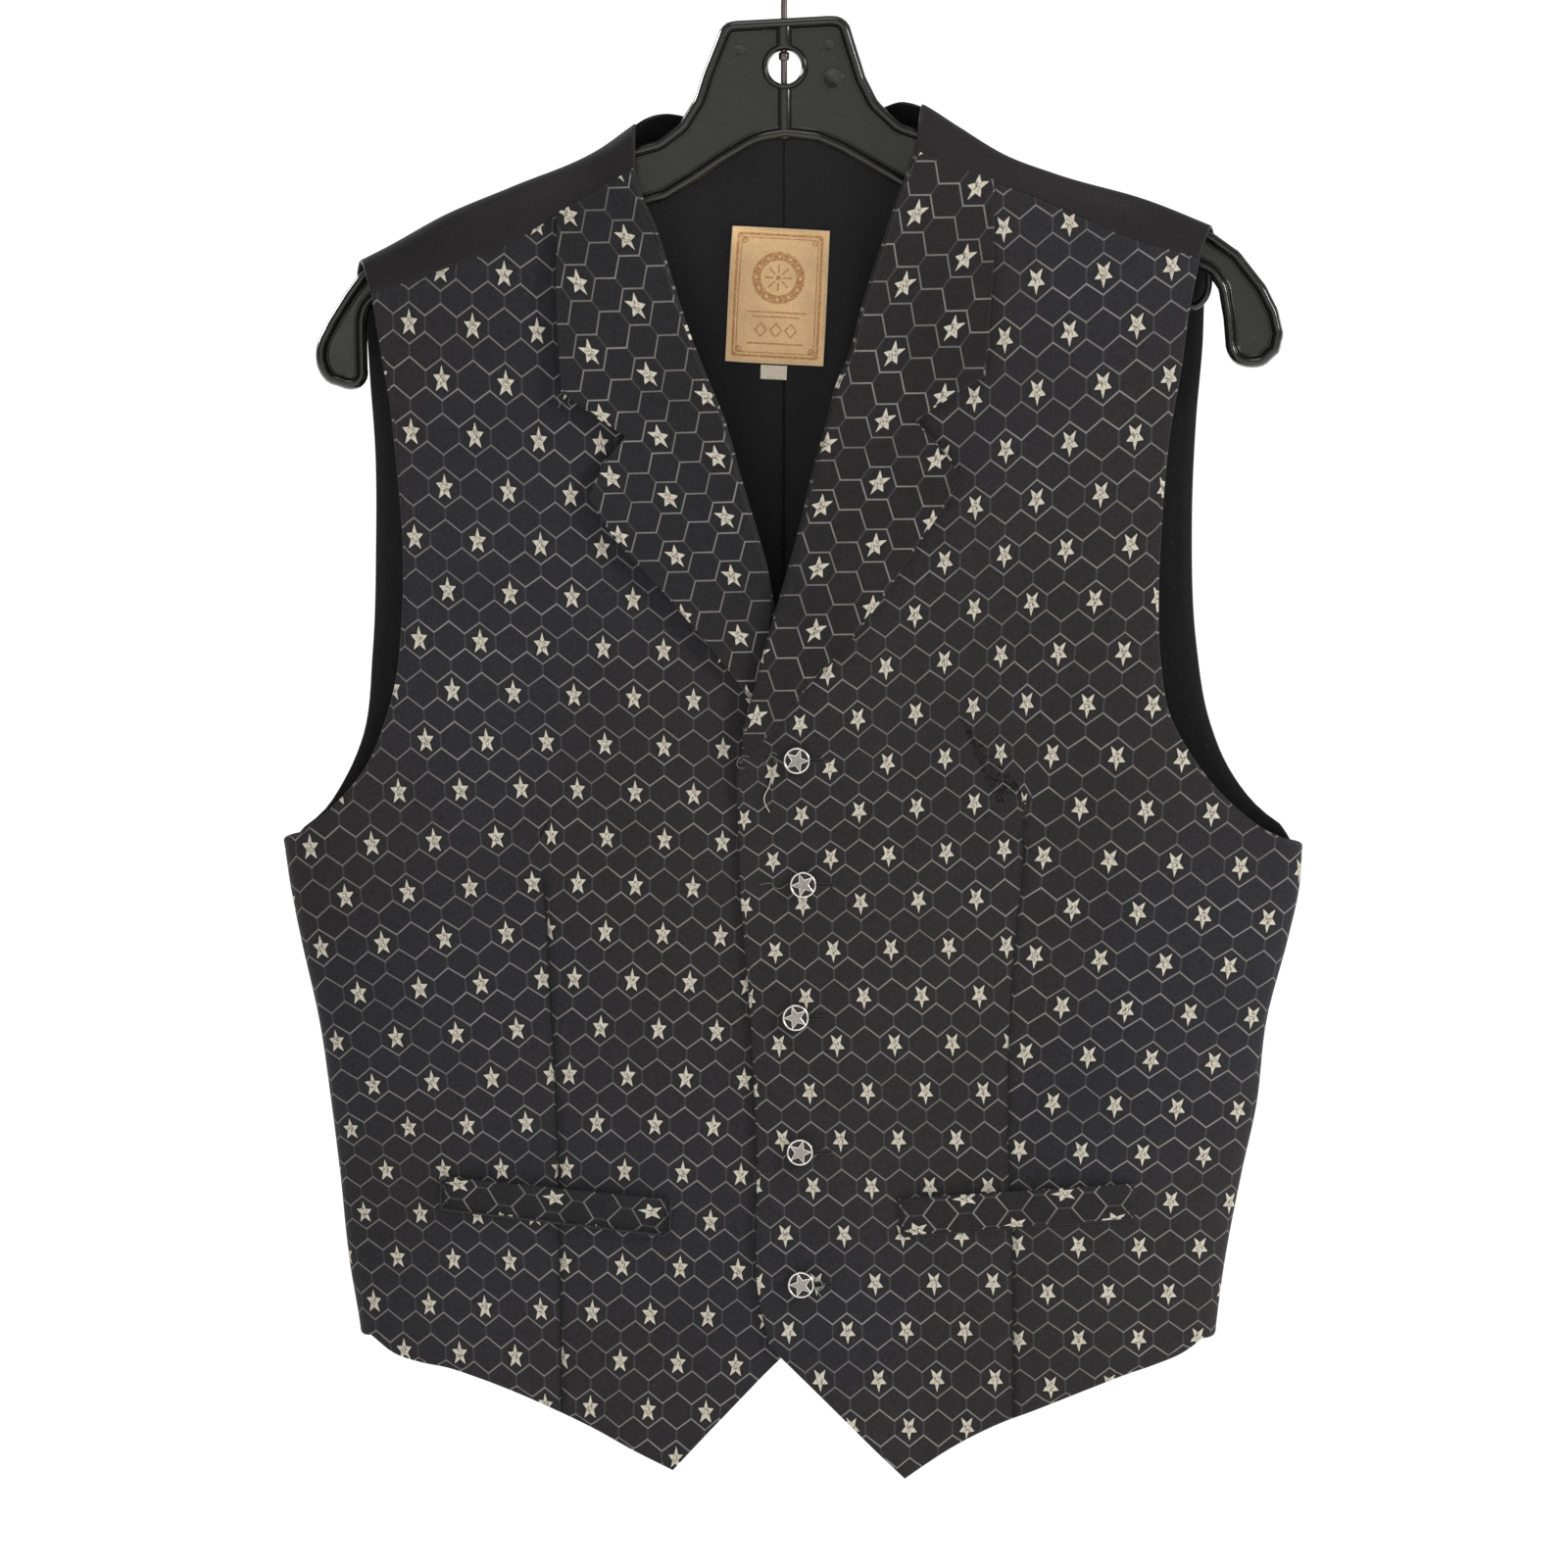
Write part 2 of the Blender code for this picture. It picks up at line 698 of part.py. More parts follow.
def back_net(side):
    """One half of the back, from its strip on the front, over the shoulder and down to the hem."""
    seam, armhole = (
        (RIGHT_YOKE_SEAM, RIGHT_BACK_ARMHOLE) if side < 0 else (LEFT_YOKE_SEAM, LEFT_BACK_ARMHOLE)
    )
    start = yoke_line(seam, 1)
    tip, neck = (start[0], start[-1]) if side < 0 else (start[-1], start[0])
    behind = on_form(along_line(armhole, BACK_ARMHOLE_STEPS), 1)
    over_tip = np.concatenate([[tip], behind])
    near_crest = np.concatenate([tip[1] * np.array(STRIP_SHARES), CREST_DROPS])
    edge = np.stack([np.interp(near_crest, over_tip[:, 1], over_tip[:, 0]), near_crest], -1)
    below = behind[behind[:, 1] > CREST_DROPS[-1] + 5]
    lower = along_line(np.concatenate([edge[-1:], below]), ARMHOLE_ROWS, BACK_EASE)
    outer = np.concatenate([edge, lower[1:], side_line(side, 1)[::-1]])

    half_neck = [row for row in NECKLINE if row[0] * side > -1e-6]
    half_neck = half_neck[::-1] if side > 0 else half_neck
    neckline = on_form(along_line(half_neck, len(CREST_DROPS)), 1)
    strip = neck + (neckline[0] - neck) * (1 - np.array(STRIP_SHARES))[:, None]
    centre_rows = len(outer) - len(strip) - len(neckline) + 1
    centre = ((0, NECK_CENTRE_Z), (0, BACK_HEM_CENTRE_Z))
    centre_seam = on_form(along_line(centre, centre_rows, BACK_EASE), 1)
    inner = np.concatenate([strip, neckline[1:], centre_seam[1:]])
    at_centre = len(strip) + len(neckline) - 2
    inner[at_centre:, 0] += side * SEAM_GAP / 2 / BODY_HALF

    x_side, z_side, _ = place(*outer[-1])
    hem = ((0, BACK_HEM_CENTRE_Z), (x_side / 2, BACK_HEM_MIDDLE_Z), (x_side, z_side))
    hem = on_form(along_line(hem, COLUMNS), 1)
    hem[0], hem[-1] = inner[-1], outer[-1]
    left, right, hem = (outer, inner, hem[::-1]) if side < 0 else (inner, outer, hem)
    crest = len(strip) - 1
    share = np.linspace(0, 1, COLUMNS + 1)[:, None]
    crest_line = left[crest] * (1 - share) + right[crest] * share
    over = patch_between(left[: crest + 1], right[: crest + 1], start, crest_line)
    return np.concatenate([over, patch_between(left[crest:], right[crest:], crest_line, hem)[1:]])


def lapel_net(side):
    """A lapel from its roll edge to its notched outer edge."""
    stretches = RIGHT_LAPEL_OUTER if side < 0 else LEFT_LAPEL_OUTER
    outer = on_form(joined(*(along_line(s, n) for s, n in zip(stretches, LAPEL_STRETCH_ROWS))))
    rows = sum(LAPEL_STRETCH_ROWS)
    if side < 0:
        roll = along_line(RIGHT_ROLL, rows - LAPEL_END_ROWS)
        inner = on_form(joined(roll, along_line(RIGHT_LAPEL_END, LAPEL_END_ROWS)))
    else:
        roll = [row for row in LEFT_ROLL if row[1] > LEFT_LAPEL_ROWS_END[1]]
        inner = on_form(along_line(roll + [LEFT_LAPEL_ROWS_END], rows))
    inner, outer = inner[::-1], outer[::-1]
    low = np.linspace(0, 1, LAPEL_COLUMNS + 1)[:, None]
    left, right = (outer, inner) if side < 0 else (inner, outer)
    top = left[-1] + (right[-1] - left[-1]) * low
    seam = RIGHT_YOKE_SEAM if side < 0 else LEFT_YOKE_SEAM
    x, _, _ = place(top[:, 0], top[:, 1])
    top = on_form(np.stack([x, through(x, seam)], -1)) - np.array([0, SEAM_GAP / 2])
    left[-1], right[-1] = top[0], top[-1]
    return patch_between(left, right, left[0] + (right[0] - left[0]) * low, top)


def quad_net(corners, columns, rows, face):
    """A four-cornered piece laid on the form, its corners from the top left round to the bottom left."""
    top_left, top_right, low_right, low_left = (np.array(corner, float) for corner in corners)
    u = np.linspace(0, 1, columns + 1)[None, :, None]
    v = np.linspace(0, 1, rows + 1)[:, None, None]
    flat = (low_left * (1 - u) + low_right * u) * (1 - v) + (top_left * (1 - u) + top_right * u) * v
    net = on_form(flat.reshape(-1, 2), face).reshape(rows + 1, columns + 1, 2)
    return net if face < 0 else net[::-1]


def button_mesh(name):
    """A star joined to its ring, domed along the star's arms, on a short shank."""
    bm = bmesh.new()
    star_tip = BUTTON_RADIUS - BUTTON_RING
    star_dip = star_tip * STAR_INNER_SHARE

    def loop(radii, height):
        ring = []
        for k, radius in enumerate(radii):
            angle = 2 * math.pi * k / BUTTON_SECTORS
            ring.append(bm.verts.new((radius * math.sin(angle), radius * math.cos(angle), height)))
        return ring

    def circle(radius, height):
        return loop([radius] * BUTTON_SECTORS, height)

    def star(height, shrink):
        from_arm = [2 * min(k % 4, 4 - k % 4) / 4 for k in range(BUTTON_SECTORS)]
        reach = [star_tip + (star_dip - star_tip) * share**STAR_ARM_CURVE for share in from_arm]
        return loop([radius - shrink for radius in reach], height)

    top = BUTTON_BASE + BUTTON_RISE
    loops = [
        circle(BUTTON_SHANK_RADIUS, -BUTTON_SHANK),
        circle(BUTTON_SHANK_RADIUS, 0),
        circle(BUTTON_RADIUS - BUTTON_BEVEL, 0),
        circle(BUTTON_RADIUS, BUTTON_BEVEL),
        circle(BUTTON_RADIUS, top - BUTTON_BEVEL),
        circle(BUTTON_RADIUS - BUTTON_BEVEL, top),
        circle(star_tip + STAR_SLOPE, top - STAR_SLOPE),
        circle(star_tip + STAR_SLOPE / 2, BUTTON_BASE),
        star(BUTTON_BASE, STAR_SLOPE / 2),
        star(top - STAR_SLOPE, STAR_SLOPE * 2),
    ]
    for low, high in zip(loops, loops[1:]):
        for k in range(BUTTON_SECTORS):
            after = (k + 1) % BUTTON_SECTORS
            bm.faces.new((low[k], high[k], high[after], low[after]))
    crown = bm.verts.new((0, 0, top + BUTTON_CROWN))
    for k in range(BUTTON_SECTORS):
        bm.faces.new((loops[-1][k], crown, loops[-1][(k + 1) % BUTTON_SECTORS]))
    bm.faces.new(loops[0])
    bmesh.ops.recalc_face_normals(bm, faces=bm.faces)
    bmesh.ops.scale(bm, vec=(MM, MM, MM), verts=bm.verts)
    mesh = bpy.data.meshes.new(name)
    bm.to_mesh(mesh)
    bm.free()
    mesh.set_sharp_from_angle(angle=math.radians(25))
    return mesh


def tube_mesh(name, centres, radii, sides):
    """A closed round bar along a line in space, with a radius at each of its points."""
    bm = bmesh.new()
    loops = []
    centres = [Vector(c) for c in centres]
    across = None
    for k, centre in enumerate(centres):
        before, after = centres[max(k - 1, 0)], centres[min(k + 1, len(centres) - 1)]
        ahead = (after - before).normalized()
        if across is None:
            across = ahead.orthogonal().normalized()
        across = (across - ahead * across.dot(ahead)).normalized()
        up = ahead.cross(across)
        turns = [2 * math.pi * i / sides for i in range(sides)]
        loops.append(
            [bm.verts.new(centre + (across * math.cos(a) + up * math.sin(a)) * radii[k]) for a in turns]
        )
    for low, high in zip(loops, loops[1:]):
        for i in range(sides):
            bm.faces.new((low[i], low[(i + 1) % sides], high[(i + 1) % sides], high[i]))
    bm.faces.new(loops[0][::-1])
    bm.faces.new(loops[-1])
    bmesh.ops.recalc_face_normals(bm, faces=bm.faces)
    bmesh.ops.scale(bm, vec=(MM, MM, MM), verts=bm.verts)
    mesh = bpy.data.meshes.new(name)
    bm.to_mesh(mesh)
    bm.free()
    mesh.shade_smooth()
    mesh.set_sharp_from_angle(angle=math.radians(40))
    return mesh


def combine(body, mesh, operation):
    """Joins a helper to the hanger's body, or cuts it out."""
    helper = place_object("helper_" + mesh.name, mesh, None)
    helper.hide_render = True
    helper.display_type = "WIRE"
    step = body.modifiers.new(mesh.name, "BOOLEAN")
    step.operation = operation
    step.solver = "EXACT"
    step.object = helper


def hanger_outline():
    """The outline's points, with the arms' tops worked out from the crest of the shoulders."""
    outline = []
    for (x, z), (next_x, next_z) in zip(HANGER_OUTLINE, HANGER_OUTLINE[1:] + HANGER_OUTLINE[:1]):
        if z is not None:
            outline.append((x, z))
        elif next_z is None:
            for top_x in np.linspace(x, next_x, ARM_STEPS + 1):
                outline.append((top_x, float(through(top_x, RIDGE)) - BACK_WALL - ARM_SEAT))
    return outline


def hanger_blank():
    """The outline as a plate whose rim rolls in and down to a thin web on both faces."""
    bm = bmesh.new()
    outline = hanger_outline()
    rim = [bm.verts.new((x, -RIM_EDGE_HALF, z)) for x, z in outline]
    face = bm.faces.new(rim)
    grown = bmesh.ops.extrude_face_region(bm, geom=[face])
    moved = [item for item in grown["geom"] if isinstance(item, bmesh.types.BMVert)]
    bmesh.ops.translate(bm, vec=(0, 2 * RIM_EDGE_HALF, 0), verts=moved)
    bmesh.ops.recalc_face_normals(bm, faces=bm.faces)
    bm.normal_update()
    caps = [f for f in bm.faces if len(f.verts) == len(outline)]
    for cap in caps:
        side = 1 if cap.normal.y > 0 else -1
        for inwards, outwards in RIM_STEPS:
            bmesh.ops.inset_region(bm, faces=[cap], thickness=inwards, use_even_offset=True)
            bmesh.ops.translate(bm, vec=(0, side * outwards, 0), verts=cap.verts)
    bmesh.ops.scale(bm, vec=(MM, MM, MM), verts=bm.verts)
    mesh = bpy.data.meshes.new("hanger_body")
    bm.to_mesh(mesh)
    bm.free()
    return mesh


def make_hanger(plastic, steel):
    body = place_object("hanger_body", hanger_blank(), plastic)
    x, z = RING_CENTRE
    deep = RIM_HALF
    combine(body, tube_mesh("ring", [(x, -deep, z), (x, deep, z)], [RING_OUTER] * 2, 32), "UNION")
    barrel = [(0, 0, BARREL_ENDS[0]), (0, 0, BARREL_ENDS[1])]
    combine(body, tube_mesh("barrel", barrel, [BARREL_RADIUS] * 2, 16), "UNION")
    rib = [(x, 0, RIB_ENDS[0]), (x, 0, RIB_ENDS[1])]
    combine(body, tube_mesh("rib", rib, [RIB_RADIUS] * 2, 12), "UNION")
    for number, (bx, bz, radius, rise) in enumerate(BOSSES):
        line = [(bx, 0.2, bz), (bx, -WEB_HALF - rise, bz)]
        combine(body, tube_mesh(f"boss_{number}", line, [radius] * 2, 16), "UNION")
    for number, hook in enumerate(STRAP_HOOKS):
        line = [(px, 0, pz) for px, pz in along_line(hook, STRAP_HOOK_STEPS)]
        bar = tube_mesh(f"strap_hook_{number}", line, [STRAP_HOOK_RADIUS] * len(line), 8)
        combine(body, bar, "UNION")
    hole = [(x, -deep - CUT_PAST, z), (x, deep + CUT_PAST, z)]
    combine(body, tube_mesh("ring_hole", hole, [RING_HOLE] * 2, 32), "DIFFERENCE")
    bore = [(0, 0, end) for end in SHANK_BORE_ENDS]
    combine(body, tube_mesh("shank_bore", bore, [SHANK_BORE] * 2, 12), "DIFFERENCE")

    bend = HOOK_BEND + WIRE_RADIUS
    turns = [math.radians(degrees) for degrees in HOOK_ARC]
    arc = [(bend * math.cos(a), 0, bend * math.sin(a) - HOOK_BEND) for a in turns]
    centres = [(sx, 0, sz) for sx, sz, _ in HOOK_STEM] + arc
    radii = [radius for *_, radius in HOOK_STEM] + [WIRE_RADIUS] * len(arc)
    place_object("hanger_hook", tube_mesh("hanger_hook", centres, radii, 12), steel)


def make_vest():
    jacquard = finish_material("jacquard", (0.026, 0.024, 0.028), 0.85)
    back_cloth = finish_material("back_cloth", (0.012, 0.011, 0.012), 0.6)
    metal = finish_material("button_metal", (0.62, 0.60, 0.57), 0.35, 1.0)
    leather = finish_material("patch_leather", (0.74, 0.47, 0.22), 0.7)
    tape = finish_material("tag_tape", (0.80, 0.74, 0.62), 0.9)

    walled("right_front", right_front_net(), 0.0, FRONT_WALL, jacquard)
    net = left_front_net()
    walled("left_front", net, front_lift(net), FRONT_WALL, jacquard)
    walled("right_back", back_net(-1), 0.0, BACK_WALL, back_cloth)
    walled("left_back", back_net(1), 0.0, BACK_WALL, back_cloth)

    net = lapel_net(-1)
    walled("right_lapel", net, LAPEL_WALL + LAID_GAP, LAPEL_WALL, jacquard)
    net = lapel_net(1)
    walled("left_lapel", net, front_lift(net) + LAPEL_WALL + LAID_GAP, LAPEL_WALL, jacquard)

    for name, *corners in WELTS:
        net = quad_net(list(zip(corners[::2], corners[1::2])), 8, 2, -1)
        lift = front_lift(net) if name == "left_welt" else 0.0
        walled(name, net, lift + WELT_WALL + LAID_GAP, WELT_WALL, jacquard)

    inside = -BACK_WALL - LAID_GAP
    walled("label_patch", quad_net(PATCH, 5, 6, 1), inside, PATCH_WALL, leather)
    walled("size_tag", quad_net(TAG, 2, 1, 1), inside, TAG_WALL, tape)

    shape = button_mesh("star_button")
    shape.materials.append(metal)
    for name, x, z, star_turn in BUTTONS:
        spot = on_form([(x, z)])
        lift = front_lift(spot) + BUTTON_SHANK + SEAM_GAP
        centre = lifted(spot[:, 0], spot[:, 1], lift)[0]
        normal = Vector(outward(spot[:, 0], spot[:, 1])[0])
        button = bpy.data.objects.new(name, shape)
        bpy.context.scene.collection.objects.link(button)
        facing = normal.to_track_quat("Z", "Y").to_matrix().to_4x4()
        spin = Matrix.Rotation(math.radians(star_turn), 4, "Z")
        button.matrix_world = Matrix.Translation(Vector(centre) * MM) @ facing @ spin


def main():
    clear_scene()
    make_vest()
    plastic = finish_material("hanger_plastic", (0.03, 0.03, 0.028), 0.3)
    steel = finish_material("hook_steel", (0.35, 0.34, 0.33), 0.4, 1.0)
    make_hanger(plastic, steel)


main()
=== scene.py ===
"""The looks of a men's western vest that hangs on a moulded plastic hanger.

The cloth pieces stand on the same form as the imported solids, worked out here again in finer nets.
Sizes are in millimetres until a mesh is made. Right and left in a piece's name are the wearer's.
"""
import math

import bpy
import numpy as np
from mathutils import Matrix, Vector


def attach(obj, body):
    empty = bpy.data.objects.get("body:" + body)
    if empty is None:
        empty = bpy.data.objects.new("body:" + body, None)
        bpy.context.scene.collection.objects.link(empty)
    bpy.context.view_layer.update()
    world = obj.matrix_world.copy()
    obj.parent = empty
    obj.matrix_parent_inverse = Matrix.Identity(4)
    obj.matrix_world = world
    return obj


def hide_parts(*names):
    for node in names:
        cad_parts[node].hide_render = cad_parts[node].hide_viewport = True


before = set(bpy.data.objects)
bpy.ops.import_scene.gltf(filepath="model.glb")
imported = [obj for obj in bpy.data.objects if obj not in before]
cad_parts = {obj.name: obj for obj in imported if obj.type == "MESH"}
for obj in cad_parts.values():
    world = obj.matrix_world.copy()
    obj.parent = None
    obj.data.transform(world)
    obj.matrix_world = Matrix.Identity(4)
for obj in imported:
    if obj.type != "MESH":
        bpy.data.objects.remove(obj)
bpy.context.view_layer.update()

MM = 0.001

# Cloth thicknesses, how seams run into each other, and the gaps under what is laid on.
FRONT_WALL = 2.0
BACK_WALL = 1.4
LAPEL_WALL = 1.7
WELT_WALL = 1.5
PATCH_WALL = 1.5
TAG_WALL = 0.7
SEAM_GAP = -0.16
LAID_GAP = 0.45
WELT_GAP = 0.1
WELT_GAPE = 3.0
LAPEL_CURL = 3.2

# The form that the cloth hangs on, as in the solids.
SHOULDER_RADIUS = 8.0
SHOULDER_FALL = 90.0
SIDE_WRAP = 0.17
BODY_HALF = 240
SIDE_CLOTH = 34.0
DART_RUN = 60

# Steps of the nets: how often the solids' own rows and columns are cut again.
FRONT_FINE = 8
BACK_FINE = 5
LAPEL_FINE = 8
COLUMNS = 16
CUTAWAY_COLUMNS = 5
SIDE_ROWS = 10
ARMHOLE_ROWS = 15
RIGHT_EDGE_ROWS = 14
LEFT_EDGE_ROWS = 11
BACK_EASE = 1.3
RIM_STEPS = 5

# Where the left front rises over the right one: x for the front and the lapel, then z for the lapel.
OVER_FRONT_X = (24, 75)
OVER_LAPEL_X = (12, 60)
OVER_LAPEL_TOP_Z = (-300, -338)
OVER_LAPEL_FOOT_Z = (-405, -455)

STRIP_SHARES = (1.0, 0.72, 0.5, 0.31, 0.15, 0.0)
CREST_DROPS = (4.0, 8.0, 12.0, 16.5, 21.5, 27.0)

RIDGE = (
    # x, z of the shoulders' crest
    (-205, -187), (-190, -179.5), (-161, -163.5), (-129, -150), (-89, -133), (-64, -116),
    (-40, -107), (0, -102), (40, -104), (66, -111), (82, -121), (104, -134.5), (129, -144),
    (174, -157), (205, -169.5),
)
BODY = (
    # z, left side, right side, depth in front, depth behind, how square the sides are
    (-770, -197, 200, 25, 22, 3.0),
    (-690, -201, 205, 25, 22, 3.0),
    (-660, -206, 209, 26, 23, 3.0),
    (-618, -210.5, 217, 26, 24, 3.0),
    (-586, -214.5, 224, 27, 25, 3.0),
    (-545, -220.5, 229, 28, 26, 3.0),
    (-507, -229, 239, 29, 26, 3.0),
    (-482, -234, 244.5, 29, 26, 3.2),
    (-462, -237, 246, 29, 26, 3.4),
    (-400, -250, 257, 29, 27, 4.0),
    (-300, -270, 274, 28, 28, 5.0),
    (-100, -292, 292, 28, 28, 5.0),
)
FOLDS = (
    # face, x, z, half width, half length, lean in degrees, height. The solids' folds come first.
    ("front", -152, -400, 24, 90, -8, 1.6),
    ("front", -118, -560, 22, 120, 3, -1.5),
    ("front", -168, -600, 20, 90, 6, 1.8),
    ("front", 160, -415, 24, 85, 9, 1.7),
    ("front", 112, -560, 22, 120, -4, -1.5),
    ("front", 166, -590, 22, 100, -8, 2.0),
    ("back", -120, -330, 26, 110, -6, 2.6),
    ("back", -52, -420, 24, 140, 3, -2.4),
    ("back", 36, -350, 24, 130, -4, 2.4),
    ("back", 118, -380, 26, 120, 7, -2.6),
    ("back", -95, -600, 28, 90, 5, 2.4),
    ("back", 80, -610, 28, 95, -6, 2.6),
    ("front", -196, -470, 7, 26, 52, 0.8),
    ("front", -178, -492, 8, 34, 40, -0.7),
    ("front", -146, -300, 9, 60, -10, 0.5),
    ("front", -60, -470, 13, 80, 6, 0.5),
    ("front", -44, -640, 14, 70, -5, -0.6),
    ("front", -84, -700, 9, 40, 8, 0.7),
    ("front", 200, -468, 7, 28, -50, 0.8),
    ("front", 182, -495, 8, 36, -38, -0.7),
    ("front", 150, -290, 9, 60, 12, 0.5),
    ("front", 62, -500, 13, 90, -5, 0.6),
    ("front", 50, -620, 12, 60, 7, -0.5),
    ("front", 92, -705, 9, 36, -9, 0.7),
    ("back", -28, -200, 9, 46, 8, 1.3),
    ("back", 24, -255, 8, 52, -12, -1.2),
    ("back", -40, -300, 8, 60, 14, 1.2),
    ("back", 52, -215, 10, 40, 5, 0.9),
    ("back", -170, -480, 9, 44, 38, 1.1),
    ("back", 172, -486, 9, 46, -36, 1.1),
    ("back", -150, -240, 10, 60, 16, -1.0),
    ("back", 148, -232, 11, 62, -15, -1.0),
    ("back", -20, -560, 12, 70, -7, 1.0),
    ("back", 28, -660, 11, 42, 10, -0.9),
    ("back", -140, -650, 10, 44, 9, -1.0),
    ("back", 138, -640, 11, 48, -8, -1.0),
    ("back", -66, -270, 7, 75, 12, 1.9),
    ("back", -84, -300, 6, 58, 17, -1.3),
    ("back", 74, -262, 7, 66, -14, 1.8),
    ("back", 96, -318, 6, 80, -11, -1.4),
    ("back", -30, -470, 6, 64, -9, -1.5),
    ("back", 22, -520, 7, 88, 6, 1.7),
    ("back", -112, -520, 7, 62, 12, 1.6),
    ("back", 122, -548, 6, 54, -16, 1.5),
    ("back", -186, -560, 7, 40, 24, 1.4),
    ("back", 188, -552, 6, 44, -21, -1.3),
    ("back", 60, -690, 7, 34, 5, 1.4),
    ("back", -72, -700, 6, 30, -6, -1.2),
)
DARTS = (
    # x at the top, top z, x at the hem, hem z, half width, depth
    (-115, -470, -105, -731, 7, 1.0),
    (113, -440, 108, -733, 7, 1.0),
)
DART_SEAMS = {
    # z, x up each sewn dart
    "right": ((-735, -105), (-664.9, -106), (-606.5, -107), (-570.4, -108.3), (-528.7, -110.7),
              (-492.6, -112.5), (-471.8, -114.8)),
    "left": ((-735, 108.3), (-660.2, 107.9), (-600, 106), (-539.9, 107), (-502.8, 109.7),
             (-475, 112.5), (-440.3, 113.4)),
}
DART_GROOVE = 0.8
DART_GROOVE_HALF = 0.9
DART_PUFF = 0.25
# How many columns beside a dart are drawn along with it, over how many millimetres above its top that
# ends, and how many rows from the hem are drawn back to it.
DART_COLUMNS = 18
DART_END = 70
DART_ROWS = 70
# How softly the pattern passes from one side of the dart to the other above its top, in millimetres.
DART_BLEND = (26, 3)

RIGHT_YOKE_SEAM = (
    # x, z
    (-195.5, -201), (-172, -193.5), (-151.5, -186.5), (-129, -177), (-108.5, -165), (-92.5, -156),
    (-70.5, -142.5),
)
LEFT_YOKE_SEAM = (
    # x, z
    (62, -134.5), (81.5, -142.5), (101, -149), (121, -156.5), (137, -163.5), (161, -174),
    (197, -184.5),
)
RIGHT_ARMHOLE = (
    # x of the front's edge, z
    (-229, -456), (-216.5, -446.5), (-205.5, -435.5), (-197, -424), (-189, -405), (-184, -387),
    (-180.5, -355), (-180, -322), (-182.5, -288), (-186, -256), (-190.5, -230), (-195.5, -201),
)
LEFT_ARMHOLE = (
    # x of the front's edge, z
    (237, -459), (228, -455), (215, -445.5), (202.5, -433), (191.5, -418), (182.5, -401),
    (178, -375), (177, -341), (178, -319), (182.5, -267), (188, -236), (191, -214), (197, -184.5),
)
RIGHT_BACK_ARMHOLE = (
    # x of the back's edge, z
    (-203, -190.5), (-199.5, -212), (-197, -245), (-195, -272), (-194.5, -320), (-196, -370),
    (-201, -412), (-210, -432.5), (-219, -446), (-231, -456),
)
LEFT_BACK_ARMHOLE = (
    # x of the back's edge, z
    (204.5, -172.5), (201, -193), (199.5, -225), (196.5, -260), (194.5, -310), (196.5, -366),
    (203, -404), (212, -426), (226, -444.5), (239, -454.5),
)
NECKLINE = (
    # x, z of the back's neck edge
    (-70.5, -121.5), (-64, -116.6), (-56, -114.8), (-46, -116), (-20, -121), (0, -122.5),
    (22, -120), (44, -112.8), (56, -109.2), (66, -111.8),
)
RIGHT_ROLL = (
    # x, z of the right front's edge, from the yoke down to where the left front covers it
    (-70.5, -142.5), (-69, -149.5), (-61, -168.5), (-52.5, -195), (-45, -218.5), (-37, -239),
    (-28, -261), (-19.5, -290.5), (-11.5, -317.5), (-7.5, -332), (-5, -346),
)
LEFT_ROLL = (
    # x, z of the left front's edge, from the yoke down to the top of the buttoned edge
    (62, -134.5), (55, -152), (46.5, -177), (36, -209.5), (30, -232), (25, -243), (19, -266),
    (13, -287), (7.5, -310.5), (-1, -341), (-6, -358), (-9.5, -370), (-13, -384), (-16.5, -397),
    (-19.5, -414), (-22.5, -429),
)
RIGHT_FRONT_EDGE = (
    # x, z of the covered edge, down to the corner of the cutaway
    (-5, -346), (-1, -368), (6, -396), (14, -440), (18, -480), (18.5, -560), (18.5, -686),
)
LEFT_FRONT_EDGE = (
    # x, z of the buttoned edge, down to the corner of the cutaway
    (-22.5, -429), (-20.5, -487), (-17.5, -523), (-15.5, -552), (-13, -609), (-11.5, -679),
    (-7, -699),
)
RIGHT_HEM = (
    # x, z from the side seam to the point
    (-196, -694.5), (-184.5, -703), (-172, -707), (-159, -709.5), (-145, -714), (-129, -720),
    (-104, -731), (-90.5, -737.5), (-70.5, -748.5), (-52.5, -757.5),
)
LEFT_HEM = (
    # x, z from the point to the side seam
    (57, -761.5), (64.5, -756.3), (81.5, -745.5), (99, -736.8), (120, -728.8), (147, -718.3),
    (161, -713), (176, -708), (188, -703.2), (199, -696),
)
# The cutaways as x, z: the right one up from the point to the corner, the left one down from it.
RIGHT_CUTAWAY = ((-52.5, -757.5), (-36.5, -740.5), (-22.5, -726), (-9.5, -712.5), (18.5, -686))
LEFT_CUTAWAY = ((-7, -699), (12, -717.5), (30.5, -735.8), (42.5, -747.7), (57, -761.5))
HEM_CORNER_Z = -689.0
ARMPIT_Z = (-461.5, -463.5)
NECK_CENTRE_Z = -122.5
BACK_HEM_CENTRE_Z = -697.0
BACK_HEM_MIDDLE_Z = -695.5

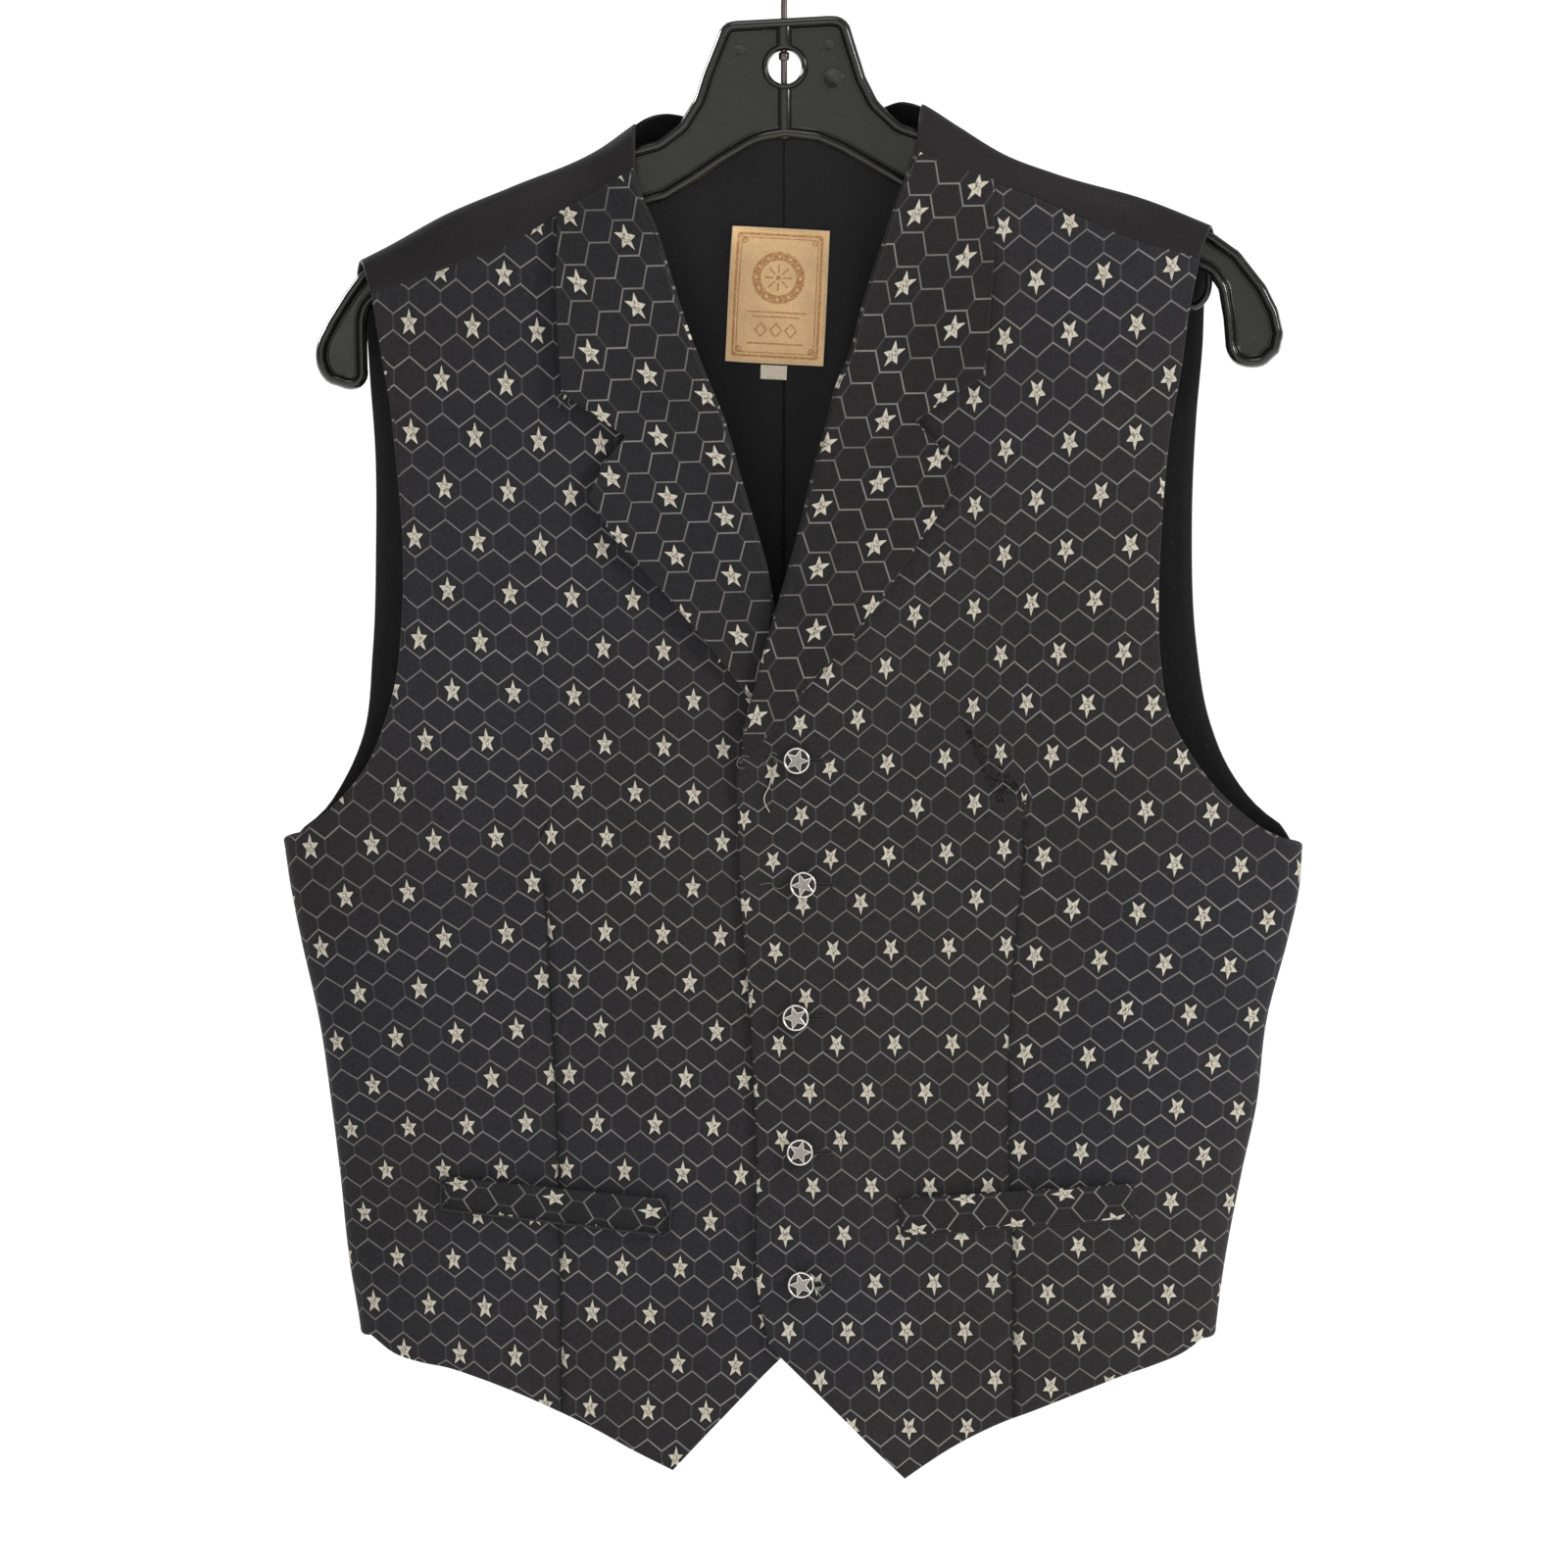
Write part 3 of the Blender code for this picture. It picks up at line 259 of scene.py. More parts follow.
# Lapels: x, z of the outer edge in straight or curved stretches. The inner edge follows the roll.
RIGHT_LAPEL_OUTER = (
    ((-107, -165), (-107.5, -205), (-105.5, -248)),
    ((-105.5, -248), (-92.5, -258), (-75, -269.5)),
    ((-75, -269.5), (-86, -284), (-92.5, -298)),
    ((-92.5, -298), (-83.5, -313), (-55, -345.5), (-30.5, -374.5), (-16.5, -393)),
)
LEFT_LAPEL_OUTER = (
    ((99.5, -149.5), (98, -198), (95, -241)),
    ((95, -241), (82, -249), (62, -262)),
    ((62, -262), (74, -275), (84, -290.5)),
    ((84, -290.5), (62.5, -322), (33.5, -363.5), (11, -388), (-1, -405), (-18.5, -419.5)),
)
RIGHT_LAPEL_END = ((-5, -346), (-7.5, -372), (-14, -392))
LEFT_LAPEL_ROWS_END = (-18.9, -416.0)
LAPEL_COLUMNS = 5
LAPEL_STRETCH_ROWS = (8, 4, 3, 11)
LAPEL_END_ROWS = 3
ROLL_SETBACK = 1.4

WELTS = (
    # side, top left, top right, bottom right, bottom left as x, z
    ("right", ((-161, -618.5), (-54, -629.5), (-54.5, -646), (-161.5, -634))),
    ("left", ((54, -629), (164.5, -622), (165, -638.5), (56, -646.5))),
)
BUTTONS = (
    # name, x, z, turn of the star in degrees
    ("button_1", 6, -422.5, -18),
    ("button_2", 9, -481, 21),
    ("button_3", 5.5, -543.5, 19),
    ("button_4", 7.5, -607, -15),
    ("button_5", 8, -669.5, 17),
)
BUTTON_SHANK = 1.3
BUTTON_REST = 0.3
BUTTON_RADIUS = 6.25
STAR_TIP = 5.95
STAR_DIP_SHARE = 0.43
STAR_THICKNESS = 0.95
CUP_HALF = 0.45
NO_REACH = 1e-5
SMOOTH_ANGLE = 0.7
BUTTONHOLE_REACH = 14.0
BUTTONHOLE_LIP = 0.75
CORD_END = 0.45
HANGER_OUTLINE = (
    # x, z, clockwise from the plate's left corner; with no z the arm follows the shoulders' crest
    (-30.5, -76), (-27.5, -72.6), (-23, -71.4), (22, -69), (27, -69.8), (31, -73.5), (38.7, -98),
    (44, -108.5), (48.6, -113.5), (55.5, -119.8), (66, -123.5), (82, -127), (104, None), (191, None),
    (204, -172.4), (216, -181), (228.5, -197), (234.5, -209), (237, -220), (235, -228.5),
    (228.5, -234.5), (221, -236), (213.5, -233.5), (209.5, -226.5), (208.3, -212.5), (206, -199),
    (201, -191.5), (190, -186.5), (170, -180), (145, -172), (110, -163), (78, -157), (55.5, -150.5),
    (40, -141.5), (26.5, -133.8), (15.3, -129), (1, -127.3), (-8, -128.8), (-16, -131.8),
    (-28.7, -139.3), (-41.5, -148), (-55.5, -156.5), (-78, -163), (-110, -173), (-145, -185.5),
    (-175, -196.5), (-190, -203), (-196, -208), (-197.8, -215), (-197.3, -240), (-201, -245.4),
    (-207, -246.3), (-215.5, -243.5), (-220.5, -237.5), (-222, -230), (-220.5, -222), (-216, -213),
    (-208.5, -201), (-201.5, -191.5), (-190, None), (-89, None), (-72, -131.5), (-60, -128),
    (-50, -120.5), (-42.5, -108.5), (-38.5, -96),
)
ARM_SEAT = 0.95
OUTLINE_STEP = 2.5
CORNER_ROUND = 3.6
RING_CENTRE = (0.4, -93.5)
RING_HOLE = 7.9
HANGER_RIMS = (
    # how far inside the outline, half width, how deep for its width
    (2.55, 2.55, 2.0), (5.5, 1.0, 1.9),
)
HANGER_RING = (1.6, 3.1)
WEB_HALF = 1.3
RIBS = (
    # name, x, top z, foot z, radius
    ("barrel", 0.0, -71.8, -84.4, 3.9),
    ("rib", 0.4, -101.2, -128.0, 3.5),
)
BOSSES = (
    # x, z, radius, how far it stands out of the web
    (-21.3, -85.5, 2.9, 0.35), (21.3, -83.0, 2.9, 0.3), (23.2, -99.0, 5.2, 1.1),
)
STRAP_HOOKS = (
    # x, z along each of the two small hooks under the arms' ends
    ((200, -186), (201.5, -195), (199.5, -203), (194.5, -207), (189.5, -205.5), (188, -201)),
    ((-184.5, -194), (-183, -206), (-184.5, -212.5), (-189, -216), (-193, -214.5)),
)
STRAP_HOOK_RADIUS = 1.7
WIRE_RADIUS = 1.5
HOOK_BEND = 19.0
# Degrees round the bend from the stem to the open end, and their step.
HOOK_SWEEP = (-45, 212, 6)
HOOK_STEM = (
    # x, z, radius, from the foot in the ring, through the ferrule and up to the bend
    (0, -101.4, 1.3), (0, -100.5, 1.5), (0, -90.4, 1.5), (0, -90.0, 2.3), (0, -89.5, 2.5),
    (0, -86.9, 2.5), (0, -86.5, 2.3), (0, -86.1, 1.5), (0, -66.0, 1.5), (0, -58.0, 1.5),
    (1.2, -50.5, 1.5), (5.0, -43.5, 1.5), (10.0, -38.2, 1.5),
)

# x, z of the corners, from the top left and round to the bottom left.
PATCH = ((-24.5, -167), (22, -169.5), (19, -234.5), (-28.5, -232))
TAG = ((-11, -233.5), (1.5, -234.2), (1.2, -241), (-11.3, -240.3))

# How the woven pattern runs on the fronts, inside of the dart and outside: x where it was read, half
# columns to the star that was read, and rows of z, row number, lean, x of that star and star spacing.
FLOWS = {
    "right inside": (-99.5, 0, (
        (-772.7, 25, -0.040, -106.0, 27.3),
        (-750.1, 24, -0.040, -105.6, 27.3), (-659.8, 20, -0.040, -103.7, 27.3),
        (-570.4, 16, -0.033, -101.4, 27.5), (-480.1, 12, -0.040, -97.2, 27.1),
        (-391.7, 8, -0.040, -99.1, 28.2), (-297.2, 4, -0.040, -100.9, 29.2),
        (-195.4, 0, -0.040, -101.9, 28.7),
        (-144.5, -2, -0.040, -102.3, 28.6))),
    "right outside": (-159.7, -4, (
        (-769.6, 25, -0.052, -124.2, 26.4),
        (-747.3, 24, -0.050, -125.0, 26.4), (-657.9, 20, -0.030, -129.6, 26.6),
        (-573.7, 16, 0.060, -138.0, 28.2), (-483.1, 12, 0.075, -148.2, 29.6),
        (-389.2, 8, -0.035, -156.5, 28.7), (-293.5, 4, -0.060, -160.2, 30.1),
        (-190.8, 0, -0.065, -162.5, 30.1),
        (-139.4, -2, -0.065, -163.0, 30.4))),
    "left inside": (62.0, 0, (
        (-782.8, 25, 0.000, 101.0, 27.3),
        (-760.2, 24, 0.000, 100.5, 27.3), (-669.0, 20, 0.000, 98.6, 27.8),
        (-578.8, 16, 0.000, 94.0, 27.3), (-488.5, 12, 0.035, 90.7, 27.3),
        (-400.0, 8, 0.100, 89.4, 27.3), (-305.6, 4, 0.100, 90.3, 29.2),
        (-200.9, 0, 0.095, 88.9, 31.0),
        (-148.5, -2, 0.095, 88.3, 31.6))),
    "left outside": (162.1, 4, (
        (-781.6, 25, 0.060, 126.2, 27.8),
        (-760.2, 24, 0.050, 126.9, 27.8), (-674.1, 20, -0.005, 124.5, 28.7),
        (-585.7, 16, -0.045, 126.9, 29.4), (-493.8, 12, -0.060, 136.1, 31.0),
        (-396.3, 8, -0.010, 143.1, 31.0), (-295.4, 4, 0.090, 149.5, 30.6),
        (-191.2, 0, 0.110, 150.9, 32.4),
        (-139.1, -2, 0.110, 151.8, 33.2))),
}
CROSS_GRAIN = {
    # x, z of a star, direction of its top arm as x, z, star spacing, row pitch
    "right_lapel": (-54.6, -296.3, 0.654, -0.757, 29.0, 25.1),
    "left_lapel": (42.6, -319.9, -0.610, -0.793, 30.4, 25.6),
    "right_welt": (-108.3, -628.8, -0.99, 0.14, 27.6, 22.9),
    "left_welt": (109.3, -641.7, -0.998, -0.05, 27.6, 23.4),
}
# How far the pattern runs aside and up the lapels from that straight grain: z, aside, up.
LAPEL_DRIFT = {
    "right_lapel": ((-395, 6.0, 1.1), (-363, 4.6, 1.1), (-334, 2.5, 1.3), (-296.6, -0.3, 2.2),
                    (-268, -1.1, 1.9), (-237, -1.4, 0.9), (-204, -1.3, -3.2), (-171, -2.1, -7.0),
                    (-140, -2.6, -10.5)),
    "left_lapel": ((-405, -7.0, 0.8), (-374, -4.4, 1.1), (-350, -2.4, 1.0), (-325, -0.6, 1.2),
                   (-289, 1.7, 1.25), (-260, 2.5, 1.4), (-228, 1.7, -0.65), (-194.5, 0, -3.9),
                   (-160, -2.2, -8.1), (-140, -3.4, -10.5)),
}
# Height of the combs' zigzag lines in rows, and how much of each pair of rows holds the stars.
ZIGZAG = 0.235
STAR_BAND = 1.067
# Shares of a star column and of a row in the woven pattern: soft edges of its lines, the star's shape.
LINE_EDGE = (0.016, 0.055)
UPRIGHT_EDGE = (0.012, 0.042)
STAR_SIZE = (0.292, 0.446)
STAR_SPREAD = -0.35
STAR_FLANK = 1.213
STAR_TIP_CUT = 0.96

# Colours of the woven threads and of what lies on the surfaces, with the painted shadow round the stars
# and the painted shade in the darts' grooves.
# Painted shadow: a dark halo round each raised star.
STAR_PAINTED_SHADOW = (0.0075, 0.0052, 0.0055, 1)
UPRIGHT_THREAD = (0.085, 0.082, 0.082, 1)
LINE_THREAD = (0.175, 0.168, 0.158, 1)
STAR_THREAD = (0.53, 0.50, 0.41, 1)
STAR_THREAD_DARK = (0.30, 0.275, 0.225, 1)
STAR_KNOT = (0.085, 0.068, 0.055, 1)
# Painted shade along the darts' sewn grooves.
SEAM_PAINTED_SHADE = (0.004, 0.0038, 0.0042, 1)
LINT = (0.10, 0.095, 0.09, 1)
DUST = (0.16, 0.155, 0.15, 1)

# The patch's print in millimetres from its middle: its size, the medal, height and half width of rules.
PATCH_PRINT = (46.5, 65.0)
MEDAL_Y = 8.5
MEDAL_RADIUS = 10.4
PATCH_RULES = ((-8.0, 14.0), (-10.2, 11.0), (-23.0, 13.0))
LEATHER = (0.86, 0.575, 0.29, 1)
LEATHER_DARK = (0.74, 0.47, 0.22, 1)
LEATHER_EDGE = (0.86, 0.70, 0.48, 1)
LEATHER_PRINT = (0.46, 0.20, 0.065, 1)
METALS = (
    # name, colour, size and amount of its wear, grain, roughness, relief and how metallic
    ("ring_metal_look", (0.57, 0.54, 0.50), 420.0, 0.35, (None, 1500.0, 2.0, 0.6), 0.28, 0.25, 1.0),
    ("star_metal_look", (0.25, 0.228, 0.212), 420.0, 0.35, (None, 1500.0, 2.0, 0.6), 0.4, 0.25, 1.0),
    ("button_recess_look", (0.014, 0.012, 0.012), 700.0, 0.5, (None, 1800.0, 2.0, 0.6), 0.6, 0.3, 0.0),
    ("hook_steel_look", (0.115, 0.098, 0.095), 60.0, 0.3, ((900.0, 900.0, 60.0), 1.0, 2.0, 0.6),
     (0.3, 0.7, 0.22, 0.38), 0.15, 1.0),
)
THREAD_SURFACE = (300.0, 0.5, (None, 2600.0, 1.0, 0.5), (0.3, 0.7, 0.6, 0.9), 0.5, 0.0)
THREADS = {
    "dark_thread": (0.0035, 0.0032, 0.0038), "grey_thread": (0.115, 0.112, 0.108),
    "green_thread": (0.17, 0.19, 0.165), "pale_thread": (0.30, 0.275, 0.235),
    "tan_thread": (0.70, 0.50, 0.27),
}
LOOSE_THREADS = (
    # name, thread, radius, then x, z and height over the cloth along it
    ("tail", "pale_thread", 0.3, (-5.8, -428.5, 0.1), (-6.1, -431.0, 0.7), (-7.0, -434.6, 1.1),
     (-9.1, -438.8, 0.9), (-9.1, -442.3, 1.0), (-6.7, -446.9, 0.4)),
    ("curl", "grey_thread", 0.2, (-16.4, -420.6, 0.2), (-19.4, -420.2, 0.8), (-22.0, -422.8, 1.1),
     (-21.5, -425.6, 0.9), (-18.4, -426.0, 0.3)),
    ("hook", "grey_thread", 0.2, (-10.2, -425.0, 0.2), (-8.1, -423.2, 0.7), (-5.6, -418.7, 1.0),
     (-3.0, -419.7, 0.5)),
    ("knot", "grey_thread", 0.22, (-4.6, -422.9, 0.3), (-3.8, -421.6, 0.9), (-3.2, -422.6, 0.9),
     (-4.0, -423.6, 0.4)),
    ("wisp", "grey_thread", 0.16, (-12.0, -481.0, 0.2), (-6.5, -480.2, 0.7), (-3.8, -482.4, 0.8),
     (-1.0, -482.4, 1.0), (2.5, -479.9, 1.4)),
    ("end_3", "dark_thread", 0.2, (12.2, -543.0, 0.8), (14.5, -541.5, 1.2), (17.3, -543.5, 0.8),
     (19.0, -541.8, 0.3)),
    ("end_5", "green_thread", 0.2, (13.4, -668.2, 0.7), (16.0, -666.6, 1.1), (18.2, -669.6, 0.9),
     (15.8, -672.4, 0.8), (17.8, -675.6, 0.2)),
    ("end_5_short", "green_thread", 0.17, (14.2, -671.5, 0.3), (17.4, -671.9, 1.1),
     (19.6, -668.8, 0.3)),
    ("notch_wisp", "grey_thread", 0.15, (-104.5, -249.0, 4.0), (-106.8, -251.2, 3.2),
     (-105.6, -254.0, 2.0), (-106.6, -256.2, 0.6)),
    ("notch_wisp_short", "grey_thread", 0.13, (-101.0, -251.5, 4.0), (-101.6, -254.0, 2.4),
     (-99.8, -255.6, 0.8)),
)

LIGHTS = (
    # name, place, size, power, warmth
    ("key", (2.3, -1.25, 0.65), 0.7, 52.0, 1.0),
    ("fill", (-1.2, -2.2, 0.3), 2.2, 10.5, 1.02),
    ("front", (0.3, -2.9, -0.3), 2.4, 10.5, 1.0),
    ("top", (0.0, -0.3, 1.3), 0.9, 8.0, 0.98),
    ("back_key", (-1.9, 1.7, 0.7), 0.8, 40.0, 1.0),
    ("back_fill", (1.8, 2.0, -0.3), 1.6, 14.0, 1.0),
)
FLOOR_Z = -1.25
FLOOR_RADIUS = 9.0
FLOOR_CORNERS = 48


def through(at, rows, column=1):
    """The smooth curve through a column of a table, read at places of its first column."""
    place = np.array([row[0] for row in rows], float)
    value = np.array([row[column] for row in rows], float)
    slope = np.gradient(value, place)
    at = np.clip(at, place[0], place[-1])
    k = np.clip(np.searchsorted(place, at) - 1, 0, len(place) - 2)
    step = place[k + 1] - place[k]
    t = (at - place[k]) / step
    ends = value[k] * (1 + 2 * t) * (1 - t) ** 2 + value[k + 1] * t**2 * (3 - 2 * t)
    return ends + step * (slope[k] * t * (1 - t) ** 2 + slope[k + 1] * t**2 * (t - 1))


def unit(vectors):
    return vectors / np.linalg.norm(vectors, axis=-1, keepdims=True)


def run_along(points):
    """How far along a line each of its points lies."""
    return np.concatenate([[0], np.cumsum(np.linalg.norm(np.diff(points, axis=0), axis=1))])


def smooth_step(value, low, high):
    t = np.clip((value - low) / (high - low), 0, 1)
    return t * t * (3 - 2 * t)


def ring_at(z):
    """Centre, half width, both depths and squareness of the body at a height."""
    low, high, front, back, power = (through(z, BODY, column) for column in range(1, 6))
    return (low + high) / 2, (high - low) / 2, front, back, power


def fold_height(x, z, face):
    """How far the folds and darts stand out of the plain form, seen square on."""
    height = np.zeros(np.shape(x))
    for on, x0, z0, half_width, half_length, lean, rise in FOLDS:
        if on != face:
            continue
        c, s = math.cos(math.radians(lean)), math.sin(math.radians(lean))
        across = (x - x0) * c + (z - z0) * s
        along = (z - z0) * c - (x - x0) * s
        height = height + rise * np.exp(-((across / half_width) ** 2) - (along / half_length) ** 2)
    if face == "front":
        for x_top, z_top, x_hem, z_hem, half_width, depth in DARTS:
            share = np.clip((z_top - z) / (z_top - z_hem), 0, 1)
            across = x - (x_top + (x_hem - x_top) * share)
            trough = np.exp(-((across / half_width) ** 2))
            height = height - depth * trough * smooth_step(z_top - z, 0, DART_RUN)
    return height


def place(turn, drop):
    """Where an angle round the body and a distance below the shoulder's crest lie, from the front."""
    below = np.sqrt(drop**2 + SHOULDER_RADIUS**2) - SHOULDER_RADIUS
    x = BODY_HALF * np.sin(turn)
    for _ in range(8):
        z = through(x, RIDGE) - below
        centre, half, *_ = ring_at(z)
        x = centre + half * np.sin(turn)
    return x, through(x, RIDGE) - below, below


def cloth(turn, drop):
    """Points on the vest's form. The drop is less than nothing in front and more behind."""
    turn, drop = np.asarray(turn, float), np.asarray(drop, float)
    x, z, below = place(turn, drop)
    _, _, front, back, power = ring_at(z)
    rise = 1 - (1 - np.minimum(below / SHOULDER_FALL, 1)) ** 2
    round_side = np.sqrt(1 - np.abs(np.sin(turn)) ** power)
    face = np.where(np.sign(drop) * np.sign(np.cos(turn)) < 0, -1.0, 1.0)
    depth = np.where(face < 0, front, back) * np.sqrt(rise) * round_side
    folds = np.where(face < 0, fold_height(x, z, "front"), fold_height(x, z, "back"))
    return np.stack([x, face * (depth + folds * np.cos(turn) ** 2 * rise), z], axis=-1)


def outward(turn, drop):
    """The cloth's outward direction."""
    across = cloth(turn + 1e-3, drop) - cloth(turn - 1e-3, drop)
    along = cloth(turn, drop + 0.2) - cloth(turn, drop - 0.2)
    return unit(np.cross(across, along))


def on_form(points, face=-1, turn=None):
    """Angles and drops of points given by x and z, on the front (-1) or the back (1)."""
    x, z = np.asarray(points, float).T
    centre, half, *_ = ring_at(z)
    if turn is None:
        turn = np.arcsin(np.clip((x - centre) / half, -1, 1))
    else:
        turn = np.broadcast_to(turn, x.shape)
        x = centre + half * np.sin(turn)
    below = np.maximum(through(x, RIDGE) - z, 0)
    return np.stack([turn, face * np.sqrt((below + SHOULDER_RADIUS) ** 2 - SHOULDER_RADIUS**2)], -1)


def along_line(points, count, ease=1.0):
    """A smooth line through the points in even steps, or in growing ones where the ease is over 1."""
    points = np.asarray(points, float)
    reach = run_along(points)
    at = reach[-1] * np.linspace(0, 1, count + 1) ** ease
    return np.stack([through(at, list(zip(reach, points[:, k]))) for k in (0, 1)], axis=-1)


def joined(*lines):
    """Lines laid end to end, each starting on the last point of the one before."""
    return np.concatenate([lines[0]] + [line[1:] for line in lines[1:]])


def linked(first, last, count):
    return first + (last - first) * np.linspace(0, 1, count + 1)[:, None]


def refined(values, fine):
    """A table's column with further steps between its rows."""
    values = np.asarray(values, float)
    at = np.linspace(0, len(values) - 1, (len(values) - 1) * fine + 1)
    return np.interp(at, np.arange(len(values)), values)


def patch_between(left, right, low, high):
    """A net of rows from the low edge to the high one, between a left and a right edge."""
    u = np.linspace(0, 1, len(low))[None, :, None]
    v = np.linspace(0, 1, len(left))[:, None, None]
    sides = left[:, None] * (1 - u) + right[:, None] * u
    ends = low[None] * (1 - v) + high[None] * v
    corners = (low[0] * (1 - u) + low[-1] * u) * (1 - v) + (high[0] * (1 - u) + high[-1] * u) * v
    return sides + ends - corners


def side_line(side, face, fine):
    """The side seam's points on the front (-1) or back (1) piece, from the hem up to the armpit."""
    armpit = ARMPIT_Z[0] if side < 0 else ARMPIT_Z[1]
    z = np.linspace(HEM_CORNER_Z, armpit, SIDE_ROWS * fine + 1)
    turn = side * (math.pi / 2 - face * SIDE_WRAP) - side * SEAM_GAP / 2 / SIDE_CLOTH
    return on_form(np.stack([np.zeros_like(z), z], -1), face, turn)


def yoke_line(seam, face, fine):
    """The yoke seam on the front piece (-1) or on the back's strip above it (1)."""
    return on_form(along_line(seam, COLUMNS * fine)) + np.array([0, face * SEAM_GAP / 2])


def front_lift(net):
    """The left front lies over the right front's edge, and over the right lapel's end."""
    x, z, _ = place(net[..., 0], net[..., 1])
    over_front = (FRONT_WALL + LAID_GAP) * (1 - smooth_step(x, *OVER_FRONT_X))
    over_lapel = (LAPEL_WALL + LAID_GAP) * (1 - smooth_step(x, *OVER_LAPEL_X))
    beside = smooth_step(z, *OVER_LAPEL_TOP_Z) * (1 - smooth_step(z, *OVER_LAPEL_FOOT_Z))
    return over_front + over_lapel * beside


def front_net(side):
    fine = FRONT_FINE
    seam, armhole = (RIGHT_YOKE_SEAM, RIGHT_ARMHOLE) if side < 0 else (LEFT_YOKE_SEAM, LEFT_ARMHOLE)
    armhole = on_form(along_line(armhole, (ARMHOLE_ROWS - 1) * fine))
    seam_side = side_line(side, -1, fine)
    outer = joined(seam_side, linked(seam_side[-1], armhole[0], fine), armhole)
    high = yoke_line(seam, -1, fine)
    if side < 0:
        edge, roll, edge_rows = RIGHT_FRONT_EDGE, RIGHT_ROLL, RIGHT_EDGE_ROWS
        cut = joined(along_line(RIGHT_HEM, (COLUMNS - 1 - CUTAWAY_COLUMNS) * fine),
                     along_line(RIGHT_CUTAWAY, CUTAWAY_COLUMNS * fine))
    else:
        edge, roll, edge_rows = LEFT_FRONT_EDGE, LEFT_ROLL, LEFT_EDGE_ROWS
        cut = joined(along_line(LEFT_CUTAWAY, CUTAWAY_COLUMNS * fine),
                     along_line(LEFT_HEM, (COLUMNS - 1 - CUTAWAY_COLUMNS) * fine))
    hem = cut
    cut = on_form(hem)
    roll = along_line(roll[::-1], (SIDE_ROWS + ARMHOLE_ROWS - edge_rows) * fine)
    under = smooth_step(np.arange(len(roll)), 2 * fine, 4 * fine)[:, None]
    roll = roll + np.array([side * ROLL_SETBACK, 0]) * under
    inner = on_form(joined(along_line(edge[::-1], edge_rows * fine), roll))
    if side < 0:
        low = joined(linked(seam_side[0], cut[0], fine), cut)
        outer[-1], inner[-1] = high[0], high[-1]
        net = patch_between(outer, inner, low, high)
    else:
        low = joined(cut, linked(cut[-1], seam_side[0], fine))
        outer[-1], inner[-1] = high[-1], high[0]
        net = patch_between(inner, outer, low, high)
    return on_dart(net, DART_SEAMS["right" if side < 0 else "left"], hem)


def on_dart(net, dart, hem):
    """Draws one column of a front's net on to its dart, and the next ones close beside it."""
    dart_top = dart[-1][0]
    for _ in range(2):
        x, z, _ = place(net[..., 0], net[..., 1])
        column = int(np.argmin((np.abs(x - through(z, dart)) * (z < dart_top)).sum(axis=0)
                               / (z < dart_top).sum(axis=0)))
        beside = np.arange(net.shape[1]) - column
        near = np.clip(1 - np.abs(beside) / DART_COLUMNS, 0, 1)
        near = near * near * (3 - 2 * near)
        gap = through(z[:, column], dart) - x[:, column]
        gap = gap * (1 - smooth_step(z[:, column], dart_top, dart_top + DART_END))
        _, half, *_ = ring_at(z)
        net[..., 0] += gap[:, None] * near / (half * np.cos(net[..., 0]))
    pull = np.sign(beside) * np.exp(-(((np.abs(beside) - 1) / 1.2) ** 2))
    fade = 1 - smooth_step(z[:, column], dart_top - 6, dart_top + 30)
    net[..., 0] -= fade[:, None] * pull * 1.1 / (half * np.cos(net[..., 0]))
    moved = np.abs(beside) < DART_COLUMNS + 2
    x, z, _ = place(net[:, moved, 0], net[:, moved, 1])
    fade = np.clip(1 - np.arange(len(z)) / DART_ROWS, 0, 1)[:, None] ** 3
    drawn = (np.interp(x[0], *hem.T) - z[0]) * fade
    net[:, moved] = on_form(np.stack([x, z + drawn], -1).reshape(-1, 2)).reshape(*x.shape, 2)
    return net


